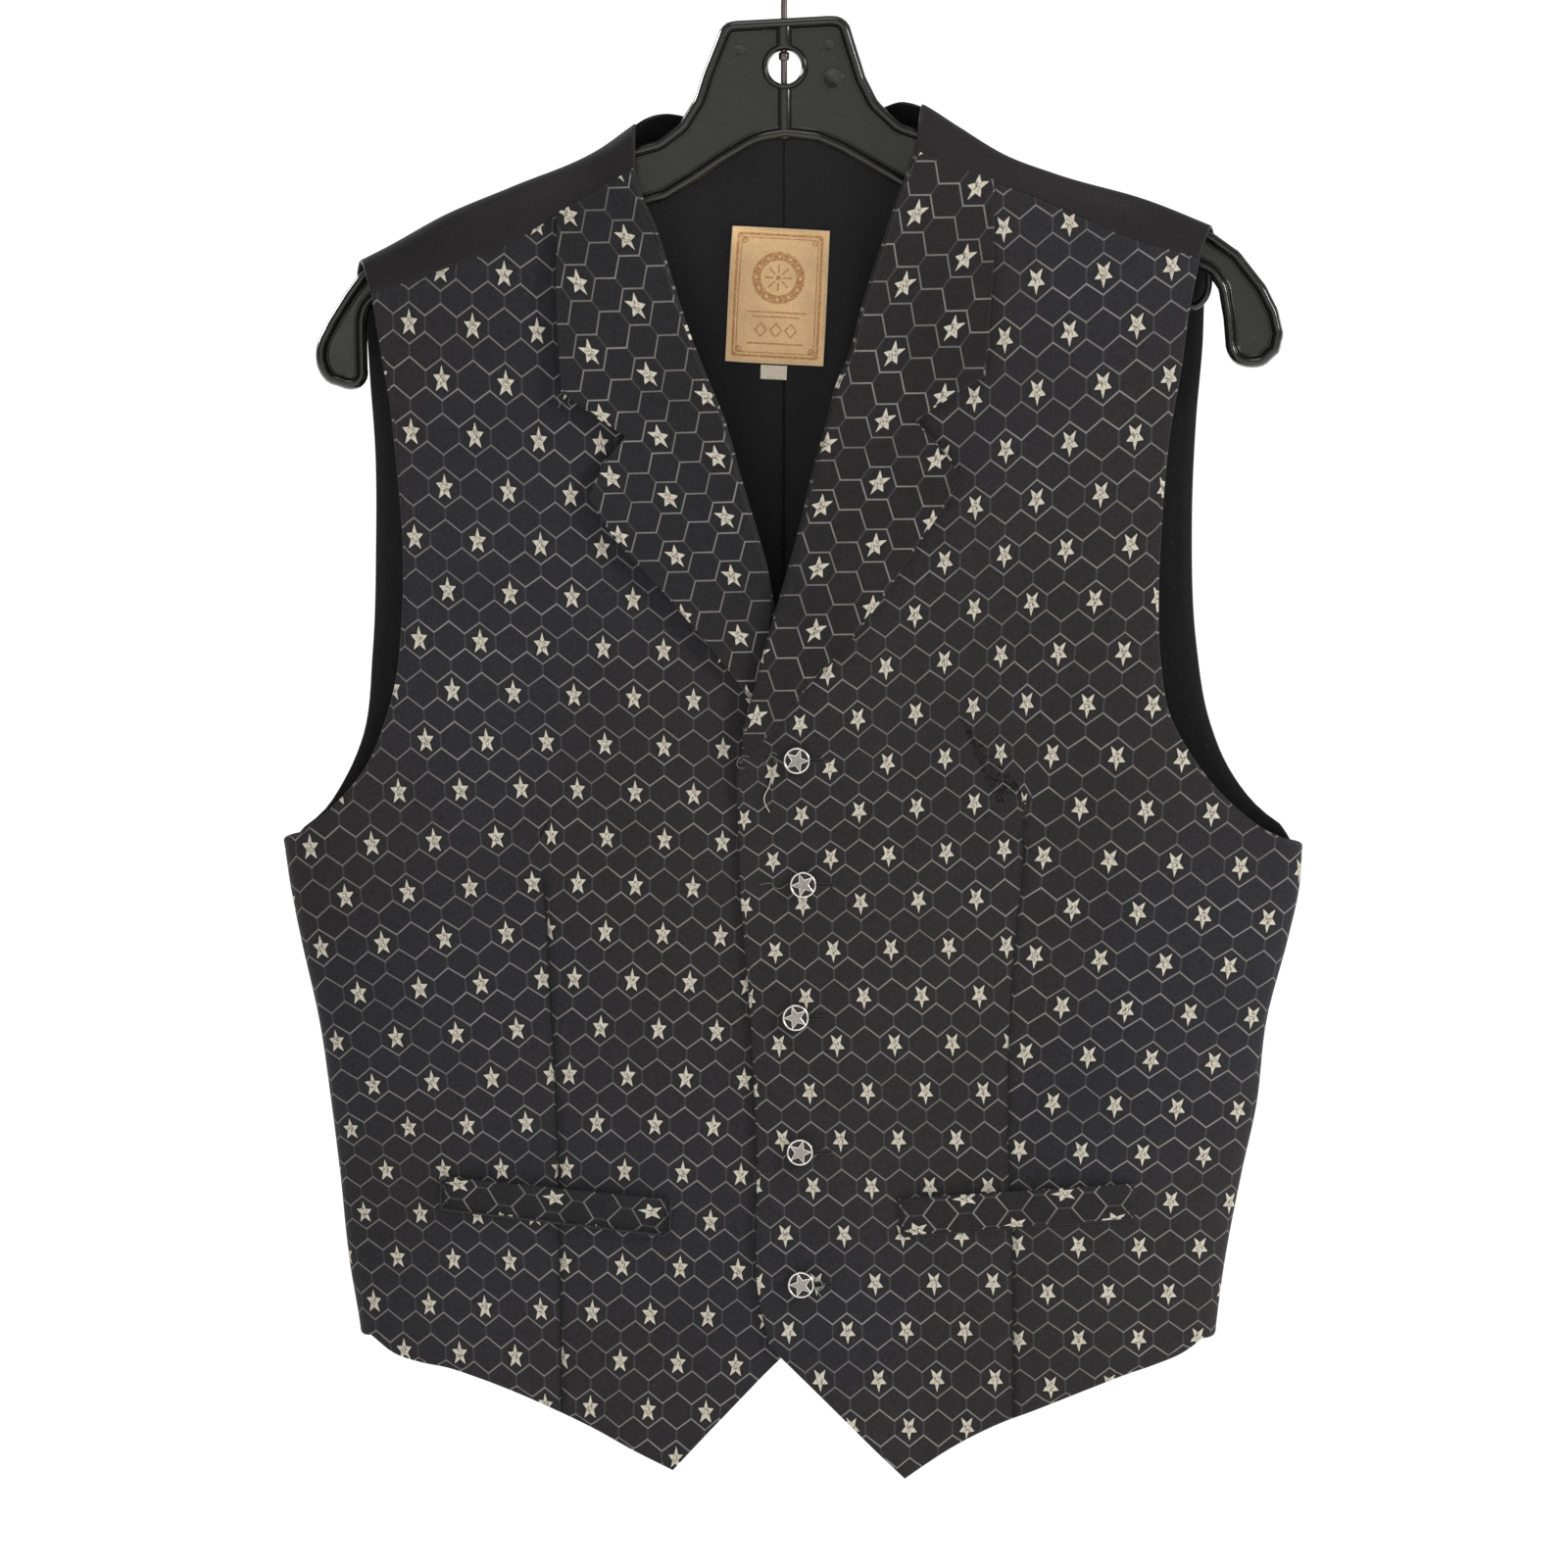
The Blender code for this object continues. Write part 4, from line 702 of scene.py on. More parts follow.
def back_net(side):
    """One half of the back, from its strip on the front, over the shoulder and down to the hem."""
    fine = BACK_FINE
    seam, armhole = (
        (RIGHT_YOKE_SEAM, RIGHT_BACK_ARMHOLE) if side < 0 else (LEFT_YOKE_SEAM, LEFT_BACK_ARMHOLE)
    )
    strip_shares, crest_drops = refined(STRIP_SHARES, fine), refined((0,) + CREST_DROPS, fine)[1:]
    start = yoke_line(seam, 1, fine)
    tip, neck = (start[0], start[-1]) if side < 0 else (start[-1], start[0])
    behind = on_form(along_line(armhole, 60 * fine), 1)
    over_tip = np.concatenate([[tip], behind])
    near_crest = np.concatenate([tip[1] * strip_shares, crest_drops])
    edge = np.stack([np.interp(near_crest, over_tip[:, 1], over_tip[:, 0]), near_crest], -1)
    below = behind[behind[:, 1] > crest_drops[-1] + 5]
    lower = along_line(np.concatenate([edge[-1:], below[::fine]]), ARMHOLE_ROWS * fine, BACK_EASE)
    seam_side = side_line(side, 1, fine)[::-1]
    outer = joined(edge, lower, linked(lower[-1], seam_side[0], fine), seam_side)

    half_neck = [row for row in NECKLINE if row[0] * side > -1e-6]
    half_neck = half_neck[::-1] if side > 0 else half_neck
    neckline = on_form(along_line(half_neck, len(crest_drops)), 1)
    strip = neck + (neckline[0] - neck) * (1 - strip_shares)[:, None]
    centre_rows = len(outer) - len(strip) - len(neckline) + 1
    centre = ((0, NECK_CENTRE_Z), (0, BACK_HEM_CENTRE_Z))
    centre_seam = on_form(along_line(centre, centre_rows, BACK_EASE), 1)
    inner = np.concatenate([strip, neckline[1:], centre_seam[1:]])
    inner[len(strip) + len(neckline) - 2:, 0] += side * SEAM_GAP / 2 / BODY_HALF

    x_side, z_side, _ = place(*outer[-1])
    hem = ((0, BACK_HEM_CENTRE_Z), (x_side / 2, BACK_HEM_MIDDLE_Z), (x_side, z_side))
    hem = on_form(along_line(hem, COLUMNS * fine), 1)
    hem[0], hem[-1] = inner[-1], outer[-1]
    left, right, hem = (outer, inner, hem[::-1]) if side < 0 else (inner, outer, hem)
    crest = len(strip) - 1
    crest_line = linked(left[crest], right[crest], COLUMNS * fine)
    over = patch_between(left[: crest + 1], right[: crest + 1], start, crest_line)
    return np.concatenate([over, patch_between(left[crest:], right[crest:], crest_line, hem)[1:]])


def lapel_net(side):
    """A lapel from its roll edge to its notched outer edge."""
    fine = LAPEL_FINE
    stretches = RIGHT_LAPEL_OUTER if side < 0 else LEFT_LAPEL_OUTER
    outer = joined(*(along_line(s, n * fine) for s, n in zip(stretches, LAPEL_STRETCH_ROWS)))
    outer = on_form(outer)
    rows = sum(LAPEL_STRETCH_ROWS) * fine
    if side < 0:
        roll = along_line(RIGHT_ROLL, rows - LAPEL_END_ROWS * fine)
        inner = on_form(joined(roll, along_line(RIGHT_LAPEL_END, LAPEL_END_ROWS * fine)))
    else:
        roll = [row for row in LEFT_ROLL if row[1] > LEFT_LAPEL_ROWS_END[1]]
        inner = on_form(along_line(roll + [LEFT_LAPEL_ROWS_END], rows))
    inner, outer = inner[::-1], outer[::-1]
    left, right = (outer, inner) if side < 0 else (inner, outer)
    top = linked(left[-1], right[-1], LAPEL_COLUMNS * fine)
    seam = RIGHT_YOKE_SEAM if side < 0 else LEFT_YOKE_SEAM
    x, _, _ = place(top[:, 0], top[:, 1])
    top = on_form(np.stack([x, through(x, seam)], -1)) - np.array([0, SEAM_GAP / 2])
    left[-1], right[-1] = top[0], top[-1]
    return patch_between(left, right, linked(left[0], right[0], LAPEL_COLUMNS * fine), top)


def quad_net(corners, columns, rows, face):
    """A four-cornered piece laid on the form, its corners from the top left to the bottom left."""
    top_left, top_right, low_right, low_left = (np.array(corner, float) for corner in corners)
    u = np.linspace(0, 1, columns + 1)[None, :, None]
    v = np.linspace(0, 1, rows + 1)[:, None, None]
    flat = (low_left * (1 - u) + low_right * u) * (1 - v) + (top_left * (1 - u) + top_right * u) * v
    net = on_form(flat.reshape(-1, 2), face).reshape(rows + 1, columns + 1, 2)
    return net if face < 0 else net[::-1]


def flow(points, name):
    """Where points of a front lie in the woven pattern, in stars and rows of stars."""
    middle, column, rows = FLOWS[name]
    x, z = points[..., 0], points[..., 1]
    level = z
    for _ in range(3):
        level = z - through(level, rows, 2) * (x - middle)
    across = column + 2 * (x - through(level, rows, 3)) / through(level, rows, 4)
    return across, -2 * through(level, rows, 1)


def front_pattern(side):
    """The pattern on a front: the two sides of the dart run on their own below its top."""
    dart = DART_SEAMS[side]
    dart_top = dart[-1][0]
    turned = 1 if side == "right" else -1
    low_name, high_name = ("outside", "inside") if side == "right" else ("inside", "outside")

    def pattern(points, middle):
        low, high = (np.stack(flow(points, f"{side} {name}"), -1) for name in (low_name, high_name))
        x, z = points[..., 0], points[..., 1]
        blend = DART_BLEND[0] * (1 - smooth_step(-z, -dart_top - 40, -dart_top + 8)) + DART_BLEND[1]
        share = smooth_step(x - through(z, dart), -blend, blend)
        past = (middle[..., 0] > through(middle[..., 1], dart)).astype(float)
        share = np.where(middle[..., 1] < dart_top, past, share)[..., None]
        uv = low * (1 - share) + high * share
        return turned * uv + np.array([0.5, STAR_BAND / 2])

    return pattern


def cross_pattern(name):
    """The pattern on a piece that is cut on another grain than the fronts."""
    x0, z0, up_x, up_z, spacing, pitch = CROSS_GRAIN[name]

    def pattern(points, middle):
        x, z = points[..., 0], points[..., 1]
        if name in LAPEL_DRIFT:
            aside, up = (through(z, LAPEL_DRIFT[name], column) for column in (1, 2))
            x, z = x + aside, z + up
        x, z = x - x0, z - z0
        across = (x * up_z - z * up_x) * 2 / spacing
        return np.stack([across + 0.5, (x * up_x + z * up_z) * 2 / pitch + STAR_BAND / 2], -1)

    return pattern


def plain_pattern(points, middle):
    """Plain cloth: the piece's own flat millimetres."""
    return points


def flat_places(base, turn):
    """The x and z of a net's points, with x let out where the cloth turns round the sides."""
    step = np.diff(base[..., 0], axis=1)
    run = np.copysign(np.linalg.norm(np.diff(base[..., :2], axis=1), axis=-1), step)
    aside = smooth_step(np.abs(turn[:, 1:] + turn[:, :-1]) / 2, 1.2, 1.42)
    run = np.where(aside > 0.5, np.abs(run), run)
    step = step + (run - step) * aside
    out = np.concatenate([np.zeros_like(step[:, :1]), np.cumsum(step, axis=1)], axis=1)
    start = np.argmin(np.abs(base[..., 0]), axis=1)[:, None]
    out += np.take_along_axis(base[..., 0] - out, start, 1)
    return np.stack([out, base[..., 2]], -1)


def cloth_piece(name, net, lift, wall, looks, pattern, seam=None):
    """A piece of cloth with a rounded rim: its outer face at a lift from the form, its inner face a wall
    further in. Its map holds the pattern's places. Looks are the outer and the inner face's materials,
    and the seam is how deep in a seam each point of the net lies."""
    turn, drop = net[..., 0], net[..., 1]
    base, normal = cloth(turn, drop), outward(turn, drop)
    lift, wall = np.broadcast_to(lift, turn.shape), np.broadcast_to(wall, turn.shape)
    outer = (base + normal * lift[..., None]).reshape(-1, 3)
    inner = (base + normal * (lift - wall)[..., None]).reshape(-1, 3)
    rows, columns = turn.shape
    index = np.arange(rows * columns).reshape(rows, columns)
    cells = np.stack([index[:-1, :-1], index[:-1, 1:], index[1:, 1:], index[1:, :-1]], -1).reshape(-1, 4)
    loop = np.concatenate([index[0, :-1], index[:-1, -1], index[-1, :0:-1], index[:0:-1, 0]])

    middle = (outer[loop] + inner[loop]) / 2
    side_normal = normal.reshape(-1, 3)[loop]
    tangent = np.roll(middle, -1, axis=0) - np.roll(middle, 1, axis=0)
    away = unit(np.cross(tangent, side_normal))
    half = (wall.reshape(-1)[loop] / 2)[:, None]
    rings = []
    for angle in np.linspace(0, math.pi, RIM_STEPS + 1):
        rings.append(middle + side_normal * half * math.cos(angle) + away * half * (math.sin(angle) - 1))
    outer[loop], inner[loop] = rings[0], rings[-1]

    count = rows * columns
    points = np.concatenate([outer, inner] + rings[1:-1])
    numbers = [loop] + [2 * count + k * len(loop) + np.arange(len(loop)) for k in range(RIM_STEPS - 1)]
    numbers.append(loop + count)
    rim = [np.stack([np.roll(a, -1), a, b, np.roll(b, -1)], -1) for a, b in zip(numbers, numbers[1:])]
    faces = np.concatenate([cells, cells[:, ::-1] + count] + rim)

    flat = flat_places(base, turn).reshape(-1, 2)
    flat = np.concatenate([flat, flat] + [flat[loop]] * (RIM_STEPS - 1))
    corners = flat[faces]
    uv = pattern(corners, corners.mean(axis=1, keepdims=True))
    mesh = bpy.data.meshes.new(name)
    mesh.from_pydata((points * MM).tolist(), [], faces.tolist())
    mesh.uv_layers.new(name="cut").data.foreach_set("uv", uv.astype(np.float32).ravel())
    # The seam depth goes to the looks, which darken the colour by it as painted shade.
    if seam is not None:
        depth = np.zeros(len(points), np.float32)
        depth[:count] = seam.reshape(-1)
        mesh.attributes.new("seam", "FLOAT", "POINT").data.foreach_set("value", depth)
    for look in looks:
        mesh.materials.append(look)
    inside = np.zeros(len(faces), np.int32)
    inside[len(cells): 2 * len(cells)] = len(looks) - 1
    mesh.polygons.foreach_set("material_index", inside)
    mesh.shade_smooth()
    return add_piece(name, mesh, name)


def add_piece(name, mesh, *replaced):
    thing = bpy.data.objects.new(name + "_cloth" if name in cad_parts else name, mesh)
    bpy.context.scene.collection.objects.link(thing)
    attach(thing, "root")
    if replaced:
        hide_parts(*replaced)
    return thing


class Wire:
    """An output in a node tree. Sums with wires and numbers place math nodes."""

    def __init__(self, tree, socket):
        self.tree, self.socket = tree, socket

    def __add__(self, other):
        return self.tree.math("ADD", self, other)

    def __sub__(self, other):
        return self.tree.math("SUBTRACT", self, other)

    def __rsub__(self, other):
        return self.tree.math("SUBTRACT", other, self)

    def __mul__(self, other):
        return self.tree.math("MULTIPLY", self, other)

    def __truediv__(self, other):
        return self.tree.math("DIVIDE", self, other)

    def __abs__(self):
        return self.tree.math("ABSOLUTE", self)


class Tree:
    """Short ways to place nodes in a material or group."""

    def __init__(self, tree):
        self.tree = tree

    def node(self, kind, values=None, outputs=0, **settings):
        made = self.tree.nodes.new(kind)
        for key, value in settings.items():
            setattr(made, key, value)
        self.fill(made, values or {})
        return made if outputs is None else Wire(self, made.outputs[outputs])

    def fill(self, node, values):
        """Links each wire to the node's socket of that name, and sets any other value on it."""
        for key, value in values.items():
            if isinstance(value, Wire):
                self.tree.links.new(value.socket, node.inputs[key])
            else:
                node.inputs[key].default_value = value

    def wires(self, sockets):
        return {socket.name: Wire(self, socket) for socket in sockets}

    def use(self, group, **values):
        """Places an effect, and gives its outputs by name."""
        return self.wires(self.node("ShaderNodeGroup", values, None, node_tree=group).outputs)

    def math(self, operation, *values):
        return self.node("ShaderNodeMath", dict(enumerate(values)), operation=operation)

    def length(self, x, y):
        return self.math("SQRT", x * x + y * y)

    def ramp(self, value, low, high, start=0.0, end=1.0):
        """Start below low, end above high, and a smooth way between."""
        values = {"Value": value, "From Min": low, "From Max": high, "To Min": start, "To Max": end}
        return self.node("ShaderNodeMapRange", values, interpolation_type="SMOOTHSTEP")

    def mix(self, share, a, b):
        return self.node("ShaderNodeMix", {0: share, 6: a, 7: b}, 2, data_type="RGBA")

    def scaled(self, vector, factor):
        return self.node("ShaderNodeVectorMath", {0: vector, 3: factor}, operation="SCALE")

    def parts(self, vector):
        split = self.node("ShaderNodeSeparateXYZ", {"Vector": vector}, None)
        return Wire(self, split.outputs[0]), Wire(self, split.outputs[1])

    def noise(self, vector, scale, detail=2.0, roughness=0.5):
        values = {"Vector": vector, "Scale": scale, "Detail": detail, "Roughness": roughness}
        return self.node("ShaderNodeTexNoise", values)

    def stretched(self, vector, scale):
        return self.node("ShaderNodeMapping", {"Vector": vector, "Scale": scale})

    def bump(self, height, strength, distance):
        values = {"Strength": strength, "Distance": distance, "Height": height}
        return self.node("ShaderNodeBump", values)

    def cut(self):
        """Where a spot lies on a cloth piece's own cut."""
        return self.node("ShaderNodeUVMap", uv_map="cut")

    def where(self):
        return self.node("ShaderNodeTexCoord", outputs="Object")


def effect(name, numbers, outputs):
    """A node group with a place, numbers and outputs: the group, its tree, and its two ends."""
    group = bpy.data.node_groups.new(name, "ShaderNodeTree")
    add = group.interface.new_socket
    add("Place", in_out="INPUT", socket_type="NodeSocketVector")
    for socket, value in numbers.items():
        add(socket, in_out="INPUT", socket_type="NodeSocketFloat").default_value = value
    for socket, kind in outputs.items():
        add(socket, in_out="OUTPUT", socket_type="NodeSocket" + kind)
    t = Tree(group)
    given = t.wires(group.nodes.new("NodeGroupInput").outputs)
    return group, t, given, group.nodes.new("NodeGroupOutput")


def comb_and_star_effect():
    """The woven pattern: zigzag lines, faint uprights between them, a star in every other comb, and a
    painted shadow round each star.
    """
    outputs = dict.fromkeys(("Line", "Upright", "Star", "Core", "Painted Shadow"), "Float") | {"Local": "Vector"}
    group, t, given, ends = effect("comb and star", {}, outputs)
    x, y = t.parts(given["Place"])
    aside = t.math("FRACT", x) - 0.5
    slant = abs(aside) * (4 * ZIGZAG) - ZIGZAG
    low = abs(t.math("WRAP", y, 1.0, -1.0) - slant)
    high = abs(t.math("WRAP", y - STAR_BAND, 1.0, -1.0) + slant)
    line = t.ramp(t.math("MINIMUM", low, high), *LINE_EDGE, 1.0, 0.0)

    band = t.math("FLOORED_MODULO", y, 2.0)
    plain = t.math("GREATER_THAN", band, STAR_BAND)
    upright = t.ramp(abs(t.math("WRAP", x + plain * 0.5, 0.5, -0.5)), *UPRIGHT_EDGE, 1.0, 0.0)
    reach = abs(band - (plain + STAR_BAND / 2))
    short = t.math("LESS_THAN", reach, (STAR_BAND / 2 - ZIGZAG) - plain * (STAR_BAND - 1))

    parity = t.math("FLOOR", x) + t.math("FLOOR", y * 0.5)
    has_star = t.math("LESS_THAN", t.math("FLOORED_MODULO", parity, 2.0), 0.5)
    up = (band - STAR_BAND / 2) * 0.845
    side = aside / t.math("MULTIPLY_ADD", up, STAR_SPREAD, 1.0) / STAR_SIZE[0]
    up = up / STAR_SIZE[1]
    radius = t.length(side, up)
    angle = abs(t.math("WRAP", t.math("ARCTAN2", side, up), math.pi / 5, -math.pi / 5))
    edge = radius * t.math("COSINE", angle - STAR_FLANK) - 0.35
    edge = t.math("MAXIMUM", edge, radius - STAR_TIP_CUT)
    t.fill(ends, {
        "Line": line, "Upright": upright * short,
        "Star": t.ramp(edge, -0.03, 0.05, 1.0, 0.0) * has_star,
        "Core": t.ramp(radius, 0.2, 0.62, 1.0, 0.0),
        # Painted shadow: a dark halo just outside each star's edge.
        "Painted Shadow": t.ramp(edge, 0.02, 0.3, 1.0, 0.0) * has_star,
        "Local": t.node("ShaderNodeCombineXYZ", {"X": side, "Y": up, "Z": parity}),
    })
    return group


def weave_effect():
    """Fine woven grain: a height of crossing threads, and a tone that runs unevenly along them."""
    group, t, given, ends = effect("weave", {"Threads": 1.0, "Slub": 0.5},
                                   {"Height": "Float", "Tone": "Float"})
    place = t.scaled(given["Place"], given["Threads"])
    x, y = t.parts(place)
    twill = t.math("SINE", (x + y) * (2 * math.pi))
    weft = t.math("SINE", (y - x * 0.35) * (2 * math.pi))
    along = t.noise(t.stretched(place, (1.0, 0.12, 1.0)), 0.9, 2.0, 0.6)
    across = t.noise(t.stretched(place, (0.12, 1.0, 1.0)), 0.9, 2.0, 0.6)
    tone = (along + across - 1.0) * given["Slub"]
    t.fill(ends, {"Tone": tone + 1.0, "Height": t.math("MULTIPLY_ADD", twill, 0.3, weft * 0.2) + tone})
    return group


def wear_effect():
    """Broad uneven tone from handling and light fuzz, over the whole piece."""
    group, t, given, ends = effect("handling", {"Size": 8.0, "Amount": 0.2},
                                   {"Tone": "Float", "Fleck": "Float"})
    broad = (t.noise(given["Place"], given["Size"], 3.0, 0.55) - 0.5) * given["Amount"]
    flecks = t.noise(given["Place"], 900.0, 1.0, 0.5)
    t.fill(ends, {"Tone": t.math("MULTIPLY_ADD", broad, 2.0, 1.0), "Fleck": t.ramp(flecks, 0.7, 0.8)})
    return group


def new_look(name):
    look = bpy.data.materials.new(name)
    look.use_nodes = True
    return look, Tree(look.node_tree), look.node_tree.nodes["Principled BSDF"]


def jacquard_look(name, effects, warm, cool):
    """Dark cloth with woven combs and raised stars, its ground between a warm and a cool colour."""
    look, t, shader = new_look(name)
    place, where = t.cut(), t.where()
    motif = t.use(effects["motif"], Place=place)
    grain = t.use(effects["weave"], Place=place, Threads=26.0, Slub=0.5)
    worn = t.use(effects["wear"], Place=where, Size=9.0, Amount=0.22)
    colour = t.mix(t.ramp(t.noise(where, 5.0, 1.0, 0.5), 0.35, 0.65), warm, cool)
    colour = t.scaled(colour, worn["Tone"] * grain["Tone"])
    colour = t.scaled(colour, t.ramp(t.noise(where, 760.0, 3.0, 0.7), 0.25, 0.75, 0.68, 1.42))
    # Painted shadow round each raised star, darkening the ground.
    colour = t.mix(motif["Painted Shadow"] * 0.55, colour, STAR_PAINTED_SHADOW)
    colour = t.mix(motif["Upright"] * 0.30, colour, UPRIGHT_THREAD)
    patchy = t.ramp(t.noise(where, 28.0, 2.0, 0.6), 0.3, 0.7, 0.50, 0.95)
    colour = t.mix(motif["Line"] * patchy, colour, LINE_THREAD)
    strands = t.noise(t.stretched(motif["Local"], (3.2, 7.5, 1.7)), 1.5, 2.0, 0.7)
    knots = t.ramp(t.noise(motif["Local"], 5.2, 1.0, 0.5), 0.40, 0.58, 0.85, 0.0)
    thread = t.mix(t.ramp(strands, 0.3, 0.75), STAR_THREAD, STAR_THREAD_DARK)
    thread = t.mix(knots * motif["Core"], thread, STAR_KNOT)
    colour = t.mix(motif["Star"], colour, thread)
    # The seam attribute darkens the colour along the darts' grooves as painted shade.
    seam = t.node("ShaderNodeAttribute", outputs="Fac", attribute_name="seam")
    tall = t.ramp(strands, 0.2, 0.8, 1.0, 0.6)
    raised = t.math("MULTIPLY_ADD", motif["Star"], tall, motif["Line"] * 0.35)
    raised = t.math("MULTIPLY_ADD", grain["Height"], 0.10, raised)
    t.fill(shader, {
        "Base Color": t.mix(seam * 0.85, colour, SEAM_PAINTED_SHADE),
        "Roughness": t.math("MULTIPLY_ADD", motif["Star"], -0.22, 0.88),
        "Normal": t.bump(raised, 0.8, 0.0004),
        "Sheen Weight": 0.06, "Sheen Roughness": 0.5, "Specular IOR Level": 0.2,
    })
    return look


def plain_cloth_look(name, effects, colour, rough, sheen, threads):
    look, t, shader = new_look(name)
    grain = t.use(effects["weave"], Place=t.cut(), Threads=threads, Slub=0.45)
    worn = t.use(effects["wear"], Place=t.where(), Size=7.0, Amount=0.25)
    base = t.scaled(colour, worn["Tone"] * grain["Tone"])
    t.fill(shader, {
        "Base Color": t.mix(worn["Fleck"] * 0.35, base, LINT),
        "Roughness": worn["Tone"] * rough,
        "Normal": t.bump(grain["Height"], 0.5, 0.00012),
        "Sheen Weight": sheen, "Sheen Roughness": 0.4, "Specular IOR Level": 0.22,
    })
    return look


def leather_look(effects):
    """Undyed leather printed in brown: a double rule, a plain round medal and rules below it."""
    look, t, shader = new_look("patch_leather_look")
    where = t.where()
    x, y = ((part - 0.5) * size for part, size in zip(t.parts(t.cut()), PATCH_PRINT))
    beside, above = abs(x), abs(y)
    from_side, from_end = PATCH_PRINT[0] / 2 - beside, PATCH_PRINT[1] / 2 - above
    inset = t.math("MINIMUM", from_side, from_end)
    inset = t.math("MINIMUM", inset, (from_side + from_end) * 0.42)

    def line(distance, half):
        return t.ramp(abs(distance), half, half + 0.22, 1.0, 0.0)

    def part_of_turn(share):
        return t.math("WRAP", turn, math.pi / share, -math.pi / share)

    medal = t.length(x, y - MEDAL_Y)
    turn = t.math("ARCTAN2", y - MEDAL_Y, x)
    off = medal - MEDAL_RADIUS
    pip = t.length(part_of_turn(12) * MEDAL_RADIUS, off)
    lozenge = abs(t.math("WRAP", x, 3.5, -3.5)) * 0.36 + abs(y + 16.5) * 0.3
    marks = [
        line(inset - 5.1, 0.18),
        line(t.length(beside - 17.0, above - 26.2) - 1.3, 0.25),
        line(off, 1.9) * t.ramp(pip, 0.6, 0.8),
        line(part_of_turn(8) * medal, 0.3) * line(medal - 4.4, 2.0),
        line(medal, 1.1),
        line(lozenge - 0.95, 0.06) * t.math("LESS_THAN", beside, 10.5),
    ]
    for level, reach in PATCH_RULES:
        marks.append(line(y - level, 0.28) * t.math("LESS_THAN", beside, reach))
    printed = line(inset - 3.4, 0.5)
    for mark in marks:
        printed = t.math("MAXIMUM", printed, mark)

    pores = t.noise(where, 1400.0, 2.0, 0.6)
    worn = t.use(effects["wear"], Place=where, Size=60.0, Amount=0.3)
    broken = printed * t.ramp(t.noise(where, 800.0, 2.0, 0.6), 0.3, 0.62, 0.4, 0.95)
    ground = t.scaled(t.mix(t.ramp(pores, 0.35, 0.7), LEATHER, LEATHER_DARK), worn["Tone"])
    ground = t.mix(t.ramp(inset, 0.3, 1.4, 0.45, 0.0), ground, LEATHER_EDGE)
    t.fill(shader, {
        "Base Color": t.mix(broken, ground, LEATHER_PRINT),
        "Roughness": t.ramp(pores, 0.3, 0.8, 0.62, 0.85),
        "Normal": t.bump(pores - printed * 0.5, 0.6, 0.0002),
    })
    return look


def fine_look(effects, name, colour, size, amount, grain, rough, relief, metallic):
    """Metal or thread: an uneven colour and a fine grain, given as its stretch, detail and roughness.
    The surface is as rough as a number over the wear, or runs with the grain."""
    look, t, shader = new_look(name)
    where = t.where()
    worn = t.use(effects["wear"], Place=where, Size=size, Amount=amount)
    stretch, scale, *noise = grain
    fine = t.noise(t.stretched(where, stretch) if stretch else where, scale, *noise)
    t.fill(shader, {
        "Base Color": t.scaled(colour, worn["Tone"]),
        "Roughness": t.ramp(fine, *rough) if isinstance(rough, tuple) else worn["Tone"] * rough,
        "Normal": t.bump(fine, relief, 0.0001), "Metallic": metallic,
    })
    return look


def plastic_look(effects):
    """Glossy black moulded plastic, a little scuffed and dusty."""
    look, t, shader = new_look("hanger_plastic_look")
    where = t.where()
    worn = t.use(effects["wear"], Place=where, Size=14.0, Amount=0.35)
    scuffs = t.noise(t.stretched(where, (90.0, 90.0, 600.0)), 1.0, 3.0, 0.65)
    base = t.scaled((0.0070, 0.0072, 0.0062), worn["Tone"])
    t.fill(shader, {
        "Base Color": t.mix(worn["Fleck"] * 0.3, base, DUST),
        "Roughness": t.ramp(scuffs, 0.45, 0.8, 0.17, 0.34),
        "Normal": t.bump(t.noise(where, 45.0, 2.0, 0.5), 0.6, 0.0009), "Specular IOR Level": 0.42,
    })
    return look


def stage_look():
    look, t, shader = new_look("pale_floor")
    tone = t.ramp(t.noise(t.where(), 1.4, 2.0, 0.5), 0.3, 0.7, 0.88, 0.92)
    t.fill(shader, {
        "Base Color": t.node("ShaderNodeCombineColor", {0: tone, 1: tone, 2: tone}), "Roughness": 0.95,
        "Emission Color": (1.0, 1.0, 1.0, 1), "Emission Strength": 0.75,
    })
    return look


def lapel_fade(net):
    """Lapels lie flat where they are sewn in at the top, and where they end at the crossing."""
    z = place(net[..., 0], net[..., 1])[1]
    return (1 - smooth_step(z, -200, -150)) * smooth_step(z, -415, -350)


def square_pattern(points, middle):
    """Places on the patch from 0 to 1 each way."""
    top_left, top_right, _, low_left = (np.array(corner) for corner in PATCH)
    down = (points[..., 1] - top_left[1]) / (low_left[1] - top_left[1])
    start = top_left[0] + (low_left[0] - top_left[0]) * down
    end = top_right[0] + (PATCH[2][0] - top_right[0]) * down
    across = (points[..., 0] - start) / (end - start)
    sink = (top_right[1] - top_left[1]) * across / (low_left[1] - top_left[1])
    return np.stack([across, 1 - (down - sink)], -1)


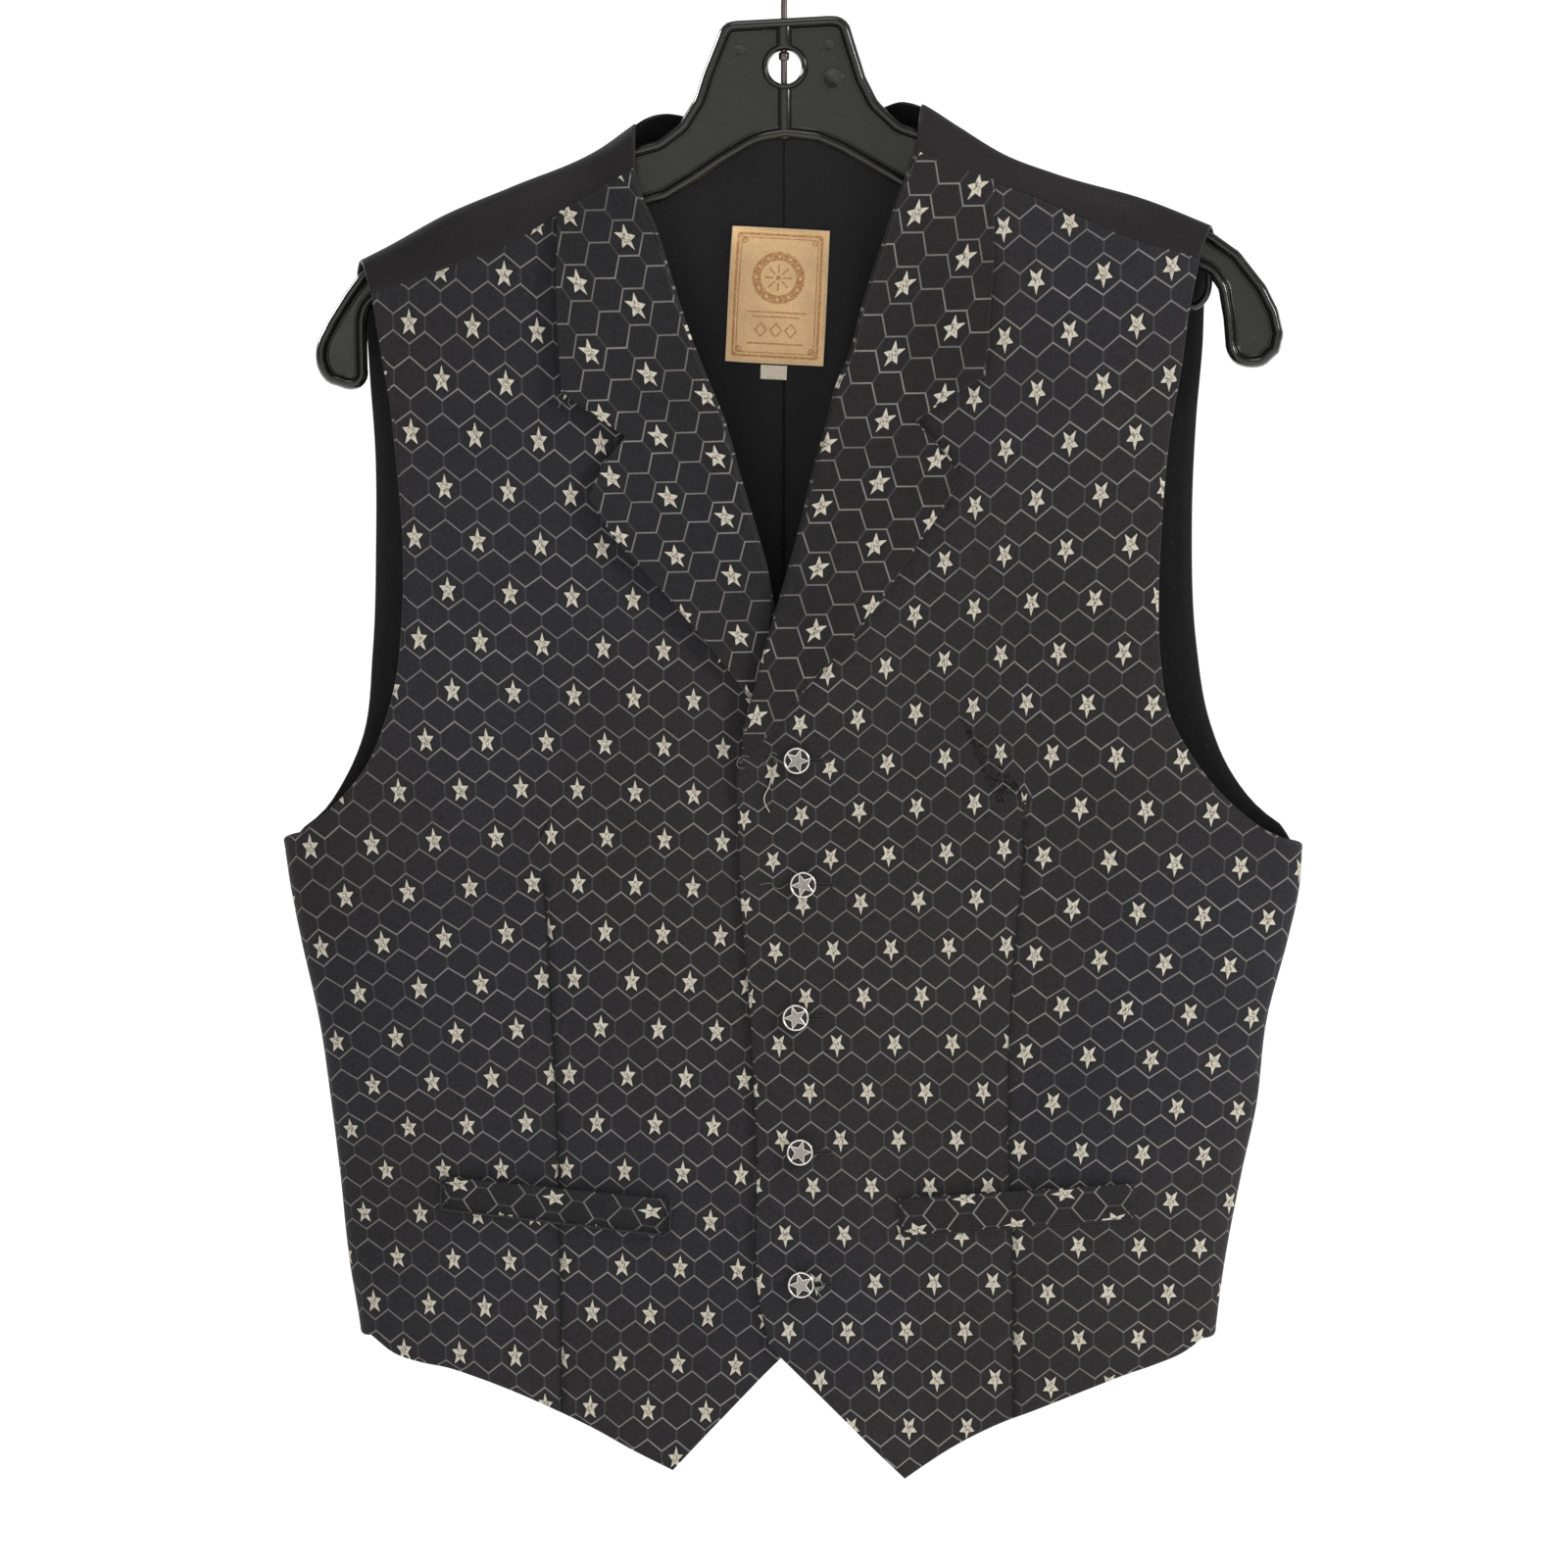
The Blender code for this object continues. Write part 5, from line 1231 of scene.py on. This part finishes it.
def build_cloth(looks):
    jacquard, turned_cloth = looks["jacquard"], looks["turned"]
    back, lining = looks["back"], looks["lining"]
    for side, name in ((-1, "right"), (1, "left")):
        net = front_net(side)
        lift = front_lift(net) if side > 0 else 0.0
        x, z, _ = place(net[..., 0], net[..., 1])
        dart = DART_SEAMS[name]
        off = x - through(z, dart)
        deep = 1 - smooth_step(z, dart[-1][0] - 12, dart[-1][0] + 2)
        # How deep in the dart's groove each point lies: it sinks the cloth here, and the look darkens the
        # colour by it as painted shade.
        seam = np.exp(-((off / DART_GROOVE_HALF) ** 2)) * deep
        groove = DART_GROOVE * seam
        puff = DART_PUFF * np.exp(-(((np.abs(off) - 4.5) / 2.6) ** 2)) * deep
        piece = cloth_piece(f"{name}_front", net, lift - groove + puff, FRONT_WALL - groove + puff,
                            (jacquard, lining), front_pattern(name), seam)

        piece = cloth_piece(f"{name}_back", back_net(side), 0.0, BACK_WALL, (back, lining), plain_pattern)

        net = lapel_net(side)
        share = np.linspace(1, 0, net.shape[1]) if side < 0 else np.linspace(0, 1, net.shape[1])
        curl = LAPEL_CURL * share[None, :] ** 2 * lapel_fade(net)
        lift = (front_lift(net) if side > 0 else 0.0) + LAPEL_WALL + LAID_GAP + curl
        wall = np.full(net.shape[:2], LAPEL_WALL)
        wall[6:, -1 if side < 0 else 0] += LAID_GAP + FRONT_WALL
        piece = cloth_piece(f"{name}_lapel", net, lift, wall, (turned_cloth,) * 2,
                            cross_pattern(f"{name}_lapel"))

    for name, corners in WELTS:
        net = quad_net(corners, 90, 16, -1)
        lift = front_lift(net) if name == "left" else 0.0
        gape = WELT_GAPE * np.linspace(0, 1, net.shape[0])[:, None] ** 1.6
        gape = gape * (1 - np.abs(np.linspace(-1, 1, net.shape[1])[None, :]) ** 6)
        piece = cloth_piece(f"{name}_welt", net, lift + WELT_WALL + WELT_GAP + gape, WELT_WALL,
                            (turned_cloth,) * 2, cross_pattern(f"{name}_welt"))

    inside = -BACK_WALL - LAID_GAP
    net = quad_net(PATCH, 40, 56, 1)
    curl = np.linspace(-1, 1, 41)[None, :] ** 4 * np.linspace(-1, 1, 57)[:, None] ** 4
    piece = cloth_piece("label_patch", net, inside - 1.2 * curl, PATCH_WALL, (looks["leather"],) * 2,
                        square_pattern)
    net = quad_net(TAG, 14, 8, 1)
    piece = cloth_piece("size_tag", net, inside - 0.3, TAG_WALL, (looks["tape"],) * 2, plain_pattern)


def add_cords(name, lines, radii, look, sides=6):
    """Round cords through lines of points in millimetres, with closed ends, as one piece."""
    points, faces = [], []
    for line, radius in zip(lines, radii):
        ahead = unit(np.gradient(line, axis=0))
        side = unit(np.cross(ahead, (0.21, 0.86, 0.47)))
        up = np.cross(side, ahead)
        taper = np.full(len(line), radius)
        taper[0] = taper[-1] = radius * CORD_END
        first = len(points)
        for centre, a, b, size in zip(line, side, up, taper):
            for turn in np.linspace(0, 2 * math.pi, sides, endpoint=False):
                points.append((centre + size * (a * math.cos(turn) + b * math.sin(turn))) * MM)
        for k in range(len(line) - 1):
            for j in range(sides):
                here, beside = first + k * sides + j, first + k * sides + (j + 1) % sides
                faces.append((here, beside, beside + sides, here + sides))
        last = len(points) - sides
        faces += [tuple(range(first + sides - 1, first - 1, -1)), tuple(range(last, last + sides))]
    mesh = bpy.data.meshes.new(name)
    mesh.from_pydata([tuple(point) for point in points], [], faces)
    mesh.shade_smooth()
    mesh.materials.append(look)
    add_piece(name, mesh)


def on_cloth(points, face, lift):
    """Points given by x, z on the cloth at a height over it."""
    spot = on_form(points, face)
    over = front_lift(spot) if face < 0 else 0.0
    lift = np.broadcast_to(over + np.asarray(lift, float), len(spot))
    return cloth(spot[:, 0], spot[:, 1]) + outward(spot[:, 0], spot[:, 1]) * lift[:, None]


def stitches(path, face, lift, bulge, pitch, share):
    """Separate stitches along a path: each dips into the cloth at its ends."""
    path = np.asarray(path, float)
    reach = run_along(path)
    lines = []
    for k in range(int(reach[-1] / pitch)):
        uneven = 0.06 * math.sin(k * 2.3) + 0.04 * math.sin(k * 5.1)
        at = (k + 0.5 + uneven + np.linspace(-share / 2, share / 2, 5)) * pitch
        spots = np.stack([np.interp(at, reach, path[:, 0]), np.interp(at, reach, path[:, 1])], -1)
        height = lift + bulge * (np.sin(np.linspace(0, math.pi, 5)) * 0.32 - 0.1)
        lines.append(on_cloth(spots, face, height))
    return lines


def build_sewing(looks):
    """Buttonholes, the patch's stitches, the welts' tacks and painted shadow lines, and a few loose
    threads.
    """
    dark, reach, lip = looks["dark_thread"], BUTTONHOLE_REACH, BUTTONHOLE_LIP
    for name, x, z, _ in BUTTONS:
        turns = np.linspace(math.pi / 2, -math.pi / 2, 7)
        loop = [(x - 2, z + lip)] + [(x + k, z + lip) for k in np.linspace(0, reach, 12)]
        loop += [(x + reach + lip * math.cos(a), z + lip * math.sin(a)) for a in turns]
        loop += [(x + k, z - lip) for k in np.linspace(reach, 0, 12)] + [(x - 2, z - lip)]
        slit = [(x + k, z) for k in np.linspace(0, reach, 10)]
        lines = [on_cloth(loop, -1, 0.12), on_cloth(slit, -1, -0.12)]
        add_cords(f"buttonhole_{name[-1]}", lines, [0.52, 0.3], dark, 8)

    inner = -BACK_WALL - LAID_GAP - PATCH_WALL
    centre = np.mean(PATCH, axis=0)
    drawn = [tuple(centre + (np.array(corner) - centre) * (0.945, 0.962)) for corner in PATCH]
    lines = []
    for start, end in zip(drawn, drawn[1:] + drawn[:1]):
        lines += stitches([start, end], 1, inner, -1, 3.1, 0.72)
    add_cords("patch_stitches", lines, [0.21] * len(lines), looks["tan_thread"])

    for name, corners in WELTS:
        top_left, top_right, low_right, low_left = (np.array(corner) for corner in corners)
        lines = []
        for top, low, inwards in ((top_left, low_left, 1), (top_right, low_right, -1)):
            for step in (1.6, 3.1):
                shift = np.array([inwards * step, 0])
                lines += stitches([top + shift, low + shift], -1, WELT_WALL + WELT_GAP, 1, 2.3, 0.7)
        # The last, thicker cord runs round each welt's ends and foot: a dark painted shadow line under
        # its turned edge.
        radii = [0.24] * len(lines) + [0.6]
        low_left, low_right = low_left + (-0.4, -0.45), low_right + (0.4, -0.45)
        stretches = (
            (top_left + (-0.4, 0), low_left + (0, 1.2)),
            (low_left + (1.2, 0), low_right + (-2.4, 0)),
            (low_right + (0, 2.2), top_right + (0.4, 0)),
        )
        lines.append(on_cloth(np.concatenate([np.linspace(a, b, 24) for a, b in stretches]), -1, 0.25))
        add_cords(f"{name}_welt_tacks_and_shadow_line", lines, radii, dark)

    for name, look, radius, *line in LOOSE_THREADS:
        at = np.linspace(0, len(line) - 1, len(line) * 6)
        numbered = [(k, *point) for k, point in enumerate(line)]
        x, z, lift = (through(at, numbered, column) for column in (1, 2, 3))
        add_cords(f"loose_{name}", [on_cloth(np.stack([x, z], -1), -1, lift)], [radius], looks[look])


def added(name, operator, **settings):
    """A piece made by one of Blender's own shapes, with nothing else picked."""
    bpy.ops.object.select_all(action="DESELECT")
    operator(**settings)
    return named(name)


def named(name):
    made = bpy.context.object
    made.name = made.data.name = name
    return made


def pick(thing, test):
    """Goes into edit mode with the points picked that pass the test."""
    bpy.ops.object.mode_set(mode="OBJECT")
    mesh = thing.data
    for kind in (mesh.polygons, mesh.edges, mesh.vertices):
        kind.foreach_set("select", [False] * len(kind))
    for vertex in mesh.vertices:
        vertex.select = test(vertex.co)
    bpy.ops.object.mode_set(mode="EDIT")
    bpy.ops.mesh.select_mode(type="VERT")


def edit_all():
    bpy.ops.object.mode_set(mode="EDIT")
    bpy.ops.mesh.select_all(action="SELECT")


def bevelled(thing, width, steps, angle=SMOOTH_ANGLE):
    """Rounds a piece's sharp edges and shades it smooth between them."""
    bpy.ops.object.mode_set(mode="EDIT")
    bpy.ops.mesh.select_mode(type="EDGE")
    bpy.ops.mesh.select_all(action="DESELECT")
    bpy.ops.mesh.edges_select_sharp(sharpness=angle)
    bpy.ops.mesh.bevel(offset=width * MM, segments=steps, affect="EDGES")
    bpy.ops.object.mode_set(mode="OBJECT")
    bpy.ops.object.shade_smooth_by_angle(angle=SMOOTH_ANGLE)
    return thing


def stretched_piece(thing, factors):
    edit_all()
    bpy.ops.transform.resize(value=factors, center_override=(0, 0, 0))
    bpy.ops.mesh.normals_make_consistent(inside=False)
    bpy.ops.object.mode_set(mode="OBJECT")
    bpy.ops.object.shade_smooth()
    return thing


def inset(width, depth=0.0):
    bpy.ops.mesh.inset(thickness=width * MM, depth=depth * MM)


def join_pieces(pieces, name):
    bpy.ops.object.select_all(action="DESELECT")
    for piece in pieces:
        piece.select_set(True)
    bpy.context.view_layer.objects.active = pieces[0]
    bpy.ops.object.join()
    bpy.ops.object.transform_apply(location=True, rotation=True, scale=True)
    return named(name)


def keep_piece(thing, node, look):
    """A finished hard piece of one look takes the place of its plain solid."""
    thing.data.materials.clear()
    thing.data.materials.append(look)
    for face in thing.data.polygons:
        face.material_index = 0
    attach(thing, "root")
    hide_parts(node)


def model_star_button(bright, dull, recess):
    """A star held in a ring over a dark cup, on a short shank. It faces up, one arm along Y."""
    star = added("star", bpy.ops.mesh.primitive_circle_add, vertices=10, radius=STAR_TIP * MM,
                 fill_type="TRIFAN")
    arm = 2 * math.pi / 10
    pick(star, lambda co: co.length > NO_REACH and round(math.atan2(co.x, co.y) / arm) % 2 == 1)
    bpy.ops.transform.resize(value=(STAR_DIP_SHARE,) * 3, center_override=(0, 0, 0))
    bpy.ops.mesh.select_all(action="SELECT")
    bpy.ops.mesh.extrude_region_move(TRANSFORM_OT_translate={"value": (0, 0, STAR_THICKNESS * MM)})
    inset(0.17, 0.14)
    inset(0.2, -0.14)
    star.data.materials.append(bright)
    star.data.materials.append(dull)
    star.active_material_index = 1
    bpy.ops.object.material_slot_assign()
    pick(star, lambda co: co.xy.length < NO_REACH and co.z > 0.5 * MM)
    bpy.ops.transform.translate(value=(0, 0, 0.16 * MM))
    bevelled(star, 0.05, 2, 0.5)
    star.location.z = 0.85 * MM

    ring = added("ring", bpy.ops.mesh.primitive_torus_add, major_radius=(BUTTON_RADIUS - 0.5) * MM,
                 minor_radius=0.5 * MM, major_segments=72, minor_segments=14)
    pick(ring, lambda co: co.z < 0)
    bpy.ops.transform.resize(value=(1, 1, 2.4), center_override=(0, 0, 0))
    bpy.ops.object.mode_set(mode="OBJECT")
    bpy.ops.object.shade_smooth()
    ring.location.z = 1.35 * MM
    ring.data.materials.append(bright)

    cup = added("cup", bpy.ops.mesh.primitive_cylinder_add, vertices=64,
                radius=(BUTTON_RADIUS - 0.45) * MM, depth=2 * CUP_HALF * MM,
                location=(0, 0, CUP_HALF * MM))
    pick(cup, lambda co: co.z > 0)
    inset(0.6)
    inset(0.5, -0.35)
    bevelled(cup, 0.1, 2).data.materials.append(recess)

    shank = added("shank", bpy.ops.mesh.primitive_cylinder_add, vertices=24, radius=1.6 * MM,
                  depth=(BUTTON_SHANK + 2 * CUP_HALF) * MM,
                  location=(0, 0, (CUP_HALF - BUTTON_SHANK / 2) * MM))
    pick(shank, lambda co: co.z < 0)
    bpy.ops.transform.resize(value=(1.25, 1.25, 1), center_override=(0, 0, 0))
    bevelled(shank, 0.15, 2).data.materials.append(recess)
    return join_pieces([star, ring, cup, shank], "star_button")


def place_buttons(*looks):
    button = model_star_button(*looks)
    for name, x, z, star_turn in BUTTONS:
        spot = on_form([(x, z)])
        normal = outward(spot[:, 0], spot[:, 1])
        centre = cloth(spot[:, 0], spot[:, 1]) + normal * (front_lift(spot) + BUTTON_SHANK + BUTTON_REST)
        facing = Vector(normal[0]).to_track_quat("Z", "Y").to_matrix().to_4x4()
        spin = Matrix.Rotation(math.radians(star_turn), 4, "Z")
        mesh = button.data.copy()
        mesh.name = name
        mesh.transform(Matrix.Translation(Vector(centre[0]) * MM) @ facing @ spin)
        add_piece(f"star_{name}", mesh, name)
    bpy.data.objects.remove(button)


def smooth_loop(points):
    """A closed outline in even steps through points. Its straight runs stay straight between them."""
    points = np.array(points, float)
    held = []
    for here, after in zip(points, np.roll(points, -1, axis=0)):
        held.append(here)
        run = after - here
        length = np.linalg.norm(run)
        if length > 2.4 * CORNER_ROUND:
            held += [here + run * CORNER_ROUND / length, after - run * CORNER_ROUND / length]
    held = np.array(held)
    padded = np.concatenate([held[-4:], held, held[:5]])
    reach = run_along(padded)
    first, last = reach[4], reach[len(held) + 4]
    at = np.linspace(first, last, round((last - first) / OUTLINE_STEP) + 1)[:-1]
    return np.stack([through(at, list(zip(reach, padded[:, k]))) for k in (0, 1)], -1)


def drawn_in(loop, amount):
    """A clockwise outline moved inwards."""
    along = np.roll(loop, -1, axis=0) - np.roll(loop, 1, axis=0)
    inwards = np.stack([along[:, 1], -along[:, 0]], -1)
    return (loop + amount * inwards / np.linalg.norm(inwards, axis=1, keepdims=True)).tolist()


def hanger_outline():
    outline = []
    for (x, z), (next_x, next_z) in zip(HANGER_OUTLINE, HANGER_OUTLINE[1:] + HANGER_OUTLINE[:1]):
        if z is not None:
            outline.append((x, z))
        elif next_z is None:
            for top_x in np.linspace(x, next_x, 13):
                outline.append((top_x, float(through(top_x, RIDGE)) - BACK_WALL - ARM_SEAT))
    return outline


def drawn_line(name, loops, radii=None, depth=0.0, closed=True, steps=6):
    """A drawn curve through x, z points, made a mesh: a bar if it has a depth, else a filled face."""
    curve = bpy.data.curves.new(name, "CURVE")
    curve.dimensions = "3D" if depth else "2D"
    for loop in loops:
        line = curve.splines.new("POLY")
        line.points.add(len(loop) - 1)
        for point, (x, z), radius in zip(line.points, loop, radii or [1.0] * len(loop)):
            point.co = (x * MM, z * MM, 0, 1)
            point.radius = radius
        line.use_cyclic_u = closed
    if depth:
        curve.bevel_depth = depth * MM
        curve.bevel_resolution = steps
        curve.use_fill_caps = True
    else:
        curve.fill_mode = "BOTH"
    drawn = bpy.data.objects.new(name, curve)
    bpy.context.scene.collection.objects.link(drawn)
    bpy.ops.object.select_all(action="DESELECT")
    drawn.select_set(True)
    bpy.context.view_layer.objects.active = drawn
    drawn.rotation_euler.x = math.pi / 2
    bpy.ops.object.convert(target="MESH")
    bpy.ops.object.transform_apply(location=False, rotation=True, scale=False)
    made = named(name)
    edit_all()
    bpy.ops.mesh.remove_doubles(threshold=1e-6)
    bpy.ops.object.mode_set(mode="OBJECT")
    return made


def model_hanger(plastic, steel):
    """The moulded hanger: a thin web inside a rounded rim that also runs round the hook's ring."""
    outline = smooth_loop(hanger_outline())
    x, z = RING_CENTRE
    thick, deep = HANGER_RING
    reach = RING_HOLE + thick
    turns = np.linspace(0, 2 * math.pi, 72, endpoint=False)
    hole = [(x + reach * math.cos(a), z + reach * math.sin(a)) for a in turns]
    web = drawn_line("web", [drawn_in(outline, 2.4), hole])
    edit_all()
    bpy.ops.transform.translate(value=(0, -WEB_HALF * MM, 0))
    bpy.ops.mesh.extrude_region_move(TRANSFORM_OT_translate={"value": (0, 2 * WEB_HALF * MM, 0)})
    bpy.ops.mesh.select_all(action="SELECT")
    bpy.ops.mesh.normals_make_consistent(inside=False)
    bpy.ops.object.mode_set(mode="OBJECT")
    bpy.ops.object.shade_smooth_by_angle(angle=SMOOTH_ANGLE)
    pieces = [web]
    for number, (amount, half, stretch) in enumerate(HANGER_RIMS):
        rim = drawn_line(f"rim_{number}", [drawn_in(outline, amount)], depth=half)
        pieces.append(stretched_piece(rim, (1, stretch, 1)))
    pieces.append(stretched_piece(drawn_line("ring_boss", [hole], depth=thick), (1, deep, 1)))
    for name, x, top, foot, radius in RIBS:
        rib = added(name, bpy.ops.mesh.primitive_cylinder_add, vertices=40, radius=radius * MM,
                    depth=(top - foot) * MM, location=(x * MM, 0, (top + foot) / 2 * MM))
        pieces.append(bevelled(rib, radius * 0.5, 5))
    for number, (x, z, radius, rise) in enumerate(BOSSES):
        tall = WEB_HALF + rise
        boss = added(f"boss_{number}", bpy.ops.mesh.primitive_cylinder_add, vertices=40,
                     radius=radius * MM, depth=tall * MM, rotation=(math.pi / 2, 0, 0),
                     location=(x * MM, -tall / 2 * MM, z * MM))
        pick(boss, lambda co: co.z > 0)
        inset(radius * 0.16)
        inset(radius * 0.1, -rise * 0.35)
        pieces.append(bevelled(boss, min(0.2, rise * 0.4), 3))
    for number, hook in enumerate(STRAP_HOOKS):
        line = along_line(hook, 20).tolist()
        pieces.append(drawn_line(f"strap_hook_{number}", [line], depth=STRAP_HOOK_RADIUS, closed=False))
        bpy.ops.object.shade_smooth_by_angle(angle=1.0)
    keep_piece(join_pieces(pieces, "moulded_hanger"), "hanger_body", plastic)

    bend = HOOK_BEND + WIRE_RADIUS
    arc = [(bend * math.cos(a), bend * math.sin(a) - HOOK_BEND) for a in np.radians(range(*HOOK_SWEEP))]
    line = [(sx, sz) for sx, sz, _ in HOOK_STEM] + arc
    radii = [radius for *_, radius in HOOK_STEM] + [WIRE_RADIUS] * len(arc)
    wire = drawn_line("wire_hook", [line], radii, depth=1.0, closed=False, steps=8)
    bpy.ops.object.shade_smooth_by_angle(angle=1.0)
    keep_piece(wire, "hanger_hook", steel)


def add_stage():
    """A wide pale floor well below the hanging vest."""
    mesh = bpy.data.meshes.new("floor")
    turns = np.linspace(0, 2 * math.pi, FLOOR_CORNERS, endpoint=False)
    rim = [(FLOOR_RADIUS * math.cos(turn), FLOOR_RADIUS * math.sin(turn), FLOOR_Z) for turn in turns]
    mesh.from_pydata(rim, [], [tuple(range(FLOOR_CORNERS))])
    mesh.materials.append(stage_look())
    floor = bpy.data.objects.new("floor", mesh)
    bpy.context.scene.collection.objects.link(floor)


def add_lights():
    for name, spot, size, power, warmth in LIGHTS:
        light = bpy.data.lights.new(name, "AREA")
        light.shape = "DISK"
        light.size = size
        light.energy = power
        light.color = (1.0, 0.985, 0.97 * warmth)
        lamp = bpy.data.objects.new(name, light)
        aim = Vector((0, 0, -0.42)) - Vector(spot)
        lamp.matrix_world = Matrix.Translation(spot) @ aim.to_track_quat("-Z", "Y").to_matrix().to_4x4()
        bpy.context.scene.collection.objects.link(lamp)
    world = bpy.data.worlds.new("studio")
    world.use_nodes = True
    t = Tree(world.node_tree)
    seen = t.node("ShaderNodeLightPath", outputs="Is Camera Ray")
    t.fill(world.node_tree.nodes["Background"],
           {"Color": (0.97, 0.98, 1.0, 1), "Strength": t.math("MULTIPLY_ADD", seen, 0.75, 0.36)})
    bpy.context.scene.world = world
    bpy.context.scene.view_settings.view_transform = "Standard"


def add_camera():
    """The photo's view, from further off with a longer lens."""
    camera = bpy.data.cameras.new("photo_view")
    camera.sensor_width = 36.0
    camera.lens = 261.4
    holder = bpy.data.objects.new("photo_view", camera)
    holder.location = (0.0, -5.4, -0.4334)
    holder.rotation_euler = (math.pi / 2, 0, 0)
    bpy.context.scene.collection.objects.link(holder)
    bpy.context.scene.camera = holder


def main():
    add_camera()
    effects = {"motif": comb_and_star_effect(), "weave": weave_effect(), "wear": wear_effect()}
    build_cloth({
        "jacquard": jacquard_look("front_cloth_look", effects, (0.0136, 0.0117, 0.0122, 1),
                                  (0.0122, 0.0121, 0.0142, 1)),
        # The lapels and welts take a darker copy of the front cloth: painted shade on the same cloth.
        "turned": jacquard_look("lapel_cloth_look", effects, (0.0108, 0.0094, 0.0098, 1),
                                (0.0096, 0.0094, 0.0106, 1)),
        "back": plain_cloth_look("back_cloth_look", effects, (0.0078, 0.0065, 0.0065), 0.46, 0.05, 0.9),
        "lining": plain_cloth_look("lining_look", effects, (0.0026, 0.0026, 0.0031), 0.50, 0.03, 1.1),
        "leather": leather_look(effects),
        "tape": plain_cloth_look("tag_tape_look", effects, (0.74, 0.66, 0.52), 0.9, 0.0, 2.0),
    })
    build_sewing({name: fine_look(effects, f"{name}_look", colour, *THREAD_SURFACE)
                  for name, colour in THREADS.items()})
    ring, star, recess, steel = (fine_look(effects, *row) for row in METALS)
    place_buttons(ring, star, recess)
    model_hanger(plastic_look(effects), steel)
    add_stage()
    add_lights()


main()
